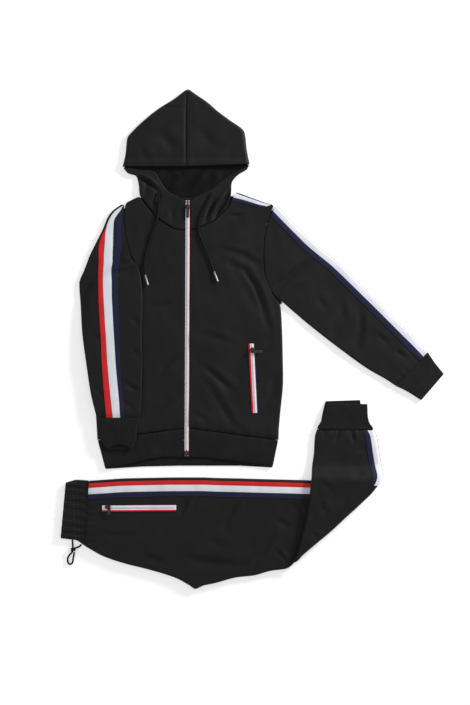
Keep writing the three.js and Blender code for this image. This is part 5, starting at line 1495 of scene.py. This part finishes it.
CUFF = rows_of(EDGES, [
    (611, 251.7, 490, 253.7), (610.3, 255.7, 490.7, 257.7), (603, 266, 497, 268), (599, 282, 503, 284),
    (598, 307, 512, 309),
])
HIDDEN_CUFF = rows_of(EDGES, [(592, 252, 496, 254), (586, 282, 501, 284), (583, 315.5, 508, 313)])
CUFF_LOW = LEG_CORE + SEAM
trouser_cuff = ribbed(tube(
    CUFF, lambda x, y: CUFF_LOW + SLEEVE_THICK - 1 + unevenness(x, y, 0.6, 11.0), level(CUFF_LOW),
    roll_a=3, roll_b=3, spacing=RIB_SPACING))
hidden_trouser_cuff = ribbed(tube(
    HIDDEN_CUFF, level(LEG_CORE), level(0.0), roll_a=CORE_ROLL, roll_b=CORE_ROLL, spacing=RIB_SPACING))
cuff_rib = dress(shell("cuff_rib", trouser_cuff, RIB, TROUSERS_AT), rib_black, "cuff")
hidden_cuff_rib = dress(
    shell("hidden_cuff_rib", hidden_trouser_cuff, RIB, TROUSERS_AT), rib_black, "hidden_cuff")

WAISTBAND = rows_of(EDGES, [
    (-51, 138, -62, 18), (-44, 140, -46, 16), (-27, 144, -30, 14), (-1.2, 142.5, -9.8, 1.5),
])
GATHERS = 9
GATHER_RISE = 0.7


def waist_top(x, y):
    gather = GATHER_RISE * np.sin(2 * np.pi * GATHERS * ((y + 0.12 * x) / 140) + 1.5 * np.sin(y / 23))
    fine = 0.35 * np.sin(2 * np.pi * 23 * ((y - 0.08 * x) / 140) + 1.1 * np.sin(y / 11))
    seams = [-1.0 * np.exp(-(((x - at + 0.05 * (y - 78)) / 2.2) ** 2)) for at in (-29, -22)]
    return BAND_THICK + gather + fine + sum(seams)


waistband = tube(WAISTBAND, waist_top, level(0.0), step=2.0, roll_a=4, roll_b=4, spacing=1.2)
waistband_cloth = dress(shell("waistband_cloth", waistband, WAIST, TROUSERS_AT), knit_black, "waistband")

LEG_ZIP = ((187, 85), (28, 84))


def on_leg(lift):
    return lambda x, y: thigh_top(x, y) + lift


leg_pocket_strips = pocket_zip(
    "leg_pocket_zip", "leg_pocket_zip", LEG_ZIP[1], LEG_ZIP[0], 15,
    [(tape_navy, 2.3), (zip_white, 9.9), (tape_red, 2.8)], on_leg(1.5), TROUSERS_AT)
leg_coil = row_of_teeth("leg_pocket_coil", (32, 84.5), (185, 85.5), on_leg(1.3), TROUSERS_AT,
                        pitch=1.3, wide=3.2, long=0.95, high=0.9, stagger=0.0)
dress(leg_coil, teeth_white)
bevelled("leg_pocket_slider_metal", "leg_pocket_slider", dark_metal, 0.3)
bevelled("leg_pocket_pull_metal", "leg_pocket_pull", dark_metal, 0.25, "leg_pocket_tab")

# Waist drawcord: one end runs through the knot and round the loop, the other is tied round it
WAIST_CORD = 1.9
LIE = WAIST_CORD + 0.1
KNOT_AT = np.array([-35.0, -5.5, 5.2])
KNOT_WIDE, KNOT_HIGH = 3.9, 3.0
looped = [
    (-37, 14.4, LIE), (-36.5, 7, LIE), (-36, 0.8, LIE + 1.2), (-35.8, -5.5, KNOT_AT[2]),
    (-37.6, -11.9, LIE + 1.2),
    (-43, -18, LIE), (-47, -26, LIE), (-46, -35, LIE), (-41, -38, LIE), (-36.5, -34, LIE),
    (-35.2, -25, LIE),
    (-33.6, -18, LIE), (-33, -11.9, LIE + 1.0),
]
cord_piece("waist_cord_looped", smooth_route(looped), WAIST_CORD, TROUSERS_AT,
           ["waist_cord_left", "waist_cord_loop"])
turns = np.linspace(0, 1.5 * 2 * np.pi, 40)
wound = np.stack([
    KNOT_AT[0] + KNOT_WIDE * np.cos(turns),
    KNOT_AT[1] + 2.9 - 0.66 * turns,
    KNOT_AT[2] + KNOT_HIGH * np.sin(turns),
], axis=1)
lead = [(-17.8, 4.2, LIE), (-22, 0, LIE), (-27.5, -2.2, LIE + 0.8)]
cord_piece("waist_cord_tied", smooth_route([*lead, *wound[2::3]]), WAIST_CORD, TROUSERS_AT,
           ["waist_cord_right", "waist_knot"])

waist_allowance = allowance("waist_seam_allowance", [(-1.1, 138.5), (-9.2, 5.5)], 3.2, 0.6, 8.0, TROUSERS_AT)
ankle_allowance = allowance(
    "ankle_seam_allowance", [(607.5, 251.4), (493.5, 253.4)], 3, 5.8, 9.4, TROUSERS_AT, rib_black)
hidden_ankle_allowance = allowance(
    "hidden_ankle_seam_allowance", [(590, 251.6), (498, 253.6)], 3, 0.8, 4.4, TROUSERS_AT, rib_black)

# Stitching


def line_between(a, b, side, height, steps=40):
    """A straight line on a surface, moved sideways to its left by side."""
    a, b, whole, way, left = directed(a, b)
    flat = a + np.linspace(0, 1, steps)[:, None] * (b - a) + side * left
    points = np.column_stack([flat, height(flat[:, 0], flat[:, 1])])
    return points, np.tile([0.0, 0.0, 1.0], (steps, 1))


def row_share(surface, row):
    return surface.line.at[row] / surface.line.length


def sewn(name, lines, offset, look=None):
    return dress(stitches(name, lines, offset), look or thread_black)


left_front_sewing = sewn("left_front_stitches", [
    line_across(left_front, "b", 2.4, row_share(left_front, 1), 1),
], JACKET_AT)
right_front_sewing = sewn("right_front_stitches", [
    line_across(right_front, "b", 2.4, row_share(right_front, 1), 1),
    line_between(*JACKET_POCKET, 9.2, front_top), line_between(*JACKET_POCKET, -9.2, front_top),
    line_between((138, 90.5), (156, 91.4), 0, front_top, 8),
    line_between((130.4, 246.2), (148.6, 247.1), 0, front_top, 8),
], JACKET_AT)
hood_left_sewing = sewn("hood_left_stitches", [
    line_along(left_crown, "first", 15), line_across(left_crown, "b", 3.2),
], JACKET_AT)
hood_right_sewing = sewn("hood_right_stitches", [
    line_along(right_crown, "first", 15), line_across(right_crown, "b", 3.2),
], JACKET_AT)
left_ends_sewing = sewn("hood_left_front_stitches", [
    line_across(left_ends, "b", 16, 0.2, 1), line_across(left_ends, "a", 4, 0.42, 1),
], JACKET_AT)
right_ends_sewing = sewn("hood_right_front_stitches", [
    line_across(right_ends, "b", 16, 0.2, 1), line_across(right_ends, "a", 4, 0.42, 1),
], JACKET_AT)
top_columns = (waistband.marks[1], waistband.marks[-1])
waist_sewing = sewn("waistband_stitches", [
    line_along(waistband, "last", 28, *top_columns), line_along(waistband, "last", 21, *top_columns),
    line_along(waistband, "first", 3, *top_columns),
], TROUSERS_AT)
leg_sewing = sewn("leg_stitches", [
    line_between(*LEG_ZIP, 9.6, thigh_top), line_between(*LEG_ZIP, -9.6, thigh_top),
    line_between((24.6, 75), (24.4, 94), 0, thigh_top, 8),
    line_between((190.4, 76), (190.2, 95), 0, thigh_top, 8),
    line_between((-5, 62), (24, 58.5), 0, thigh_top, 10),
], TROUSERS_AT)
for key, (obj, top) in tape_pieces.items():
    look = {"r": thread_red, "w": thread_white, "n": thread_navy}[key[1]]
    at = TROUSERS_AT if key[0] in "th" else JACKET_AT
    if key in ("rr", "hr"):
        continue
    lines = [line_across(top, "a", 0.8), line_across(top, "b", 0.8)]
    dress(stitches(f"{obj.name}_stitches", lines, at, pitch=3.4, long=2.7, wide=0.4), look)


# Floor and light
floor_mesh = bpy.data.meshes.new("floor")
FLOOR_HALF, FLOOR_LOW = 3, -0.0004
floor_corners = [(x * FLOOR_HALF, y * FLOOR_HALF, FLOOR_LOW) for x, y in ((-1, -1), (1, -1), (1, 1), (-1, 1))]
floor_mesh.from_pydata(floor_corners, [], [(0, 1, 2, 3)])
floor = bpy.data.objects.new("floor", floor_mesh)
scene.collection.objects.link(floor)
pale = hard_material("paper", (0.93, 0.93, 0.93), 0.9, 0.0, grain=0.05)
pale.node_tree.nodes["Principled BSDF"].inputs["Emission Color"].default_value = (1, 1, 1, 1)
pale.node_tree.nodes["Principled BSDF"].inputs["Emission Strength"].default_value = 0.45
floor_mesh.materials.append(pale)

world = bpy.data.worlds.new("room")
world.use_nodes = True
world.node_tree.nodes["Background"].inputs["Color"].default_value = (1, 1, 1, 1)
world.node_tree.nodes["Background"].inputs["Strength"].default_value = 0.42
scene.world = world


def area_light(name, at, size, power, aim=(0, 0, 0)):
    data = bpy.data.lights.new(name, "AREA")
    data.shape = "SQUARE"
    data.size = size
    data.energy = power
    light = bpy.data.objects.new(name, data)
    light.location = at
    way = mathutils.Vector(aim) - mathutils.Vector(at)
    light.rotation_euler = way.to_track_quat("-Z", "Y").to_euler()
    scene.collection.objects.link(light)


area_light("key", (1.9, 1.45, 0.85), 0.5, 74)
area_light("fill", (-1.6, -0.6, 2.0), 1.6, 6)
scene.view_settings.view_transform = "Standard"
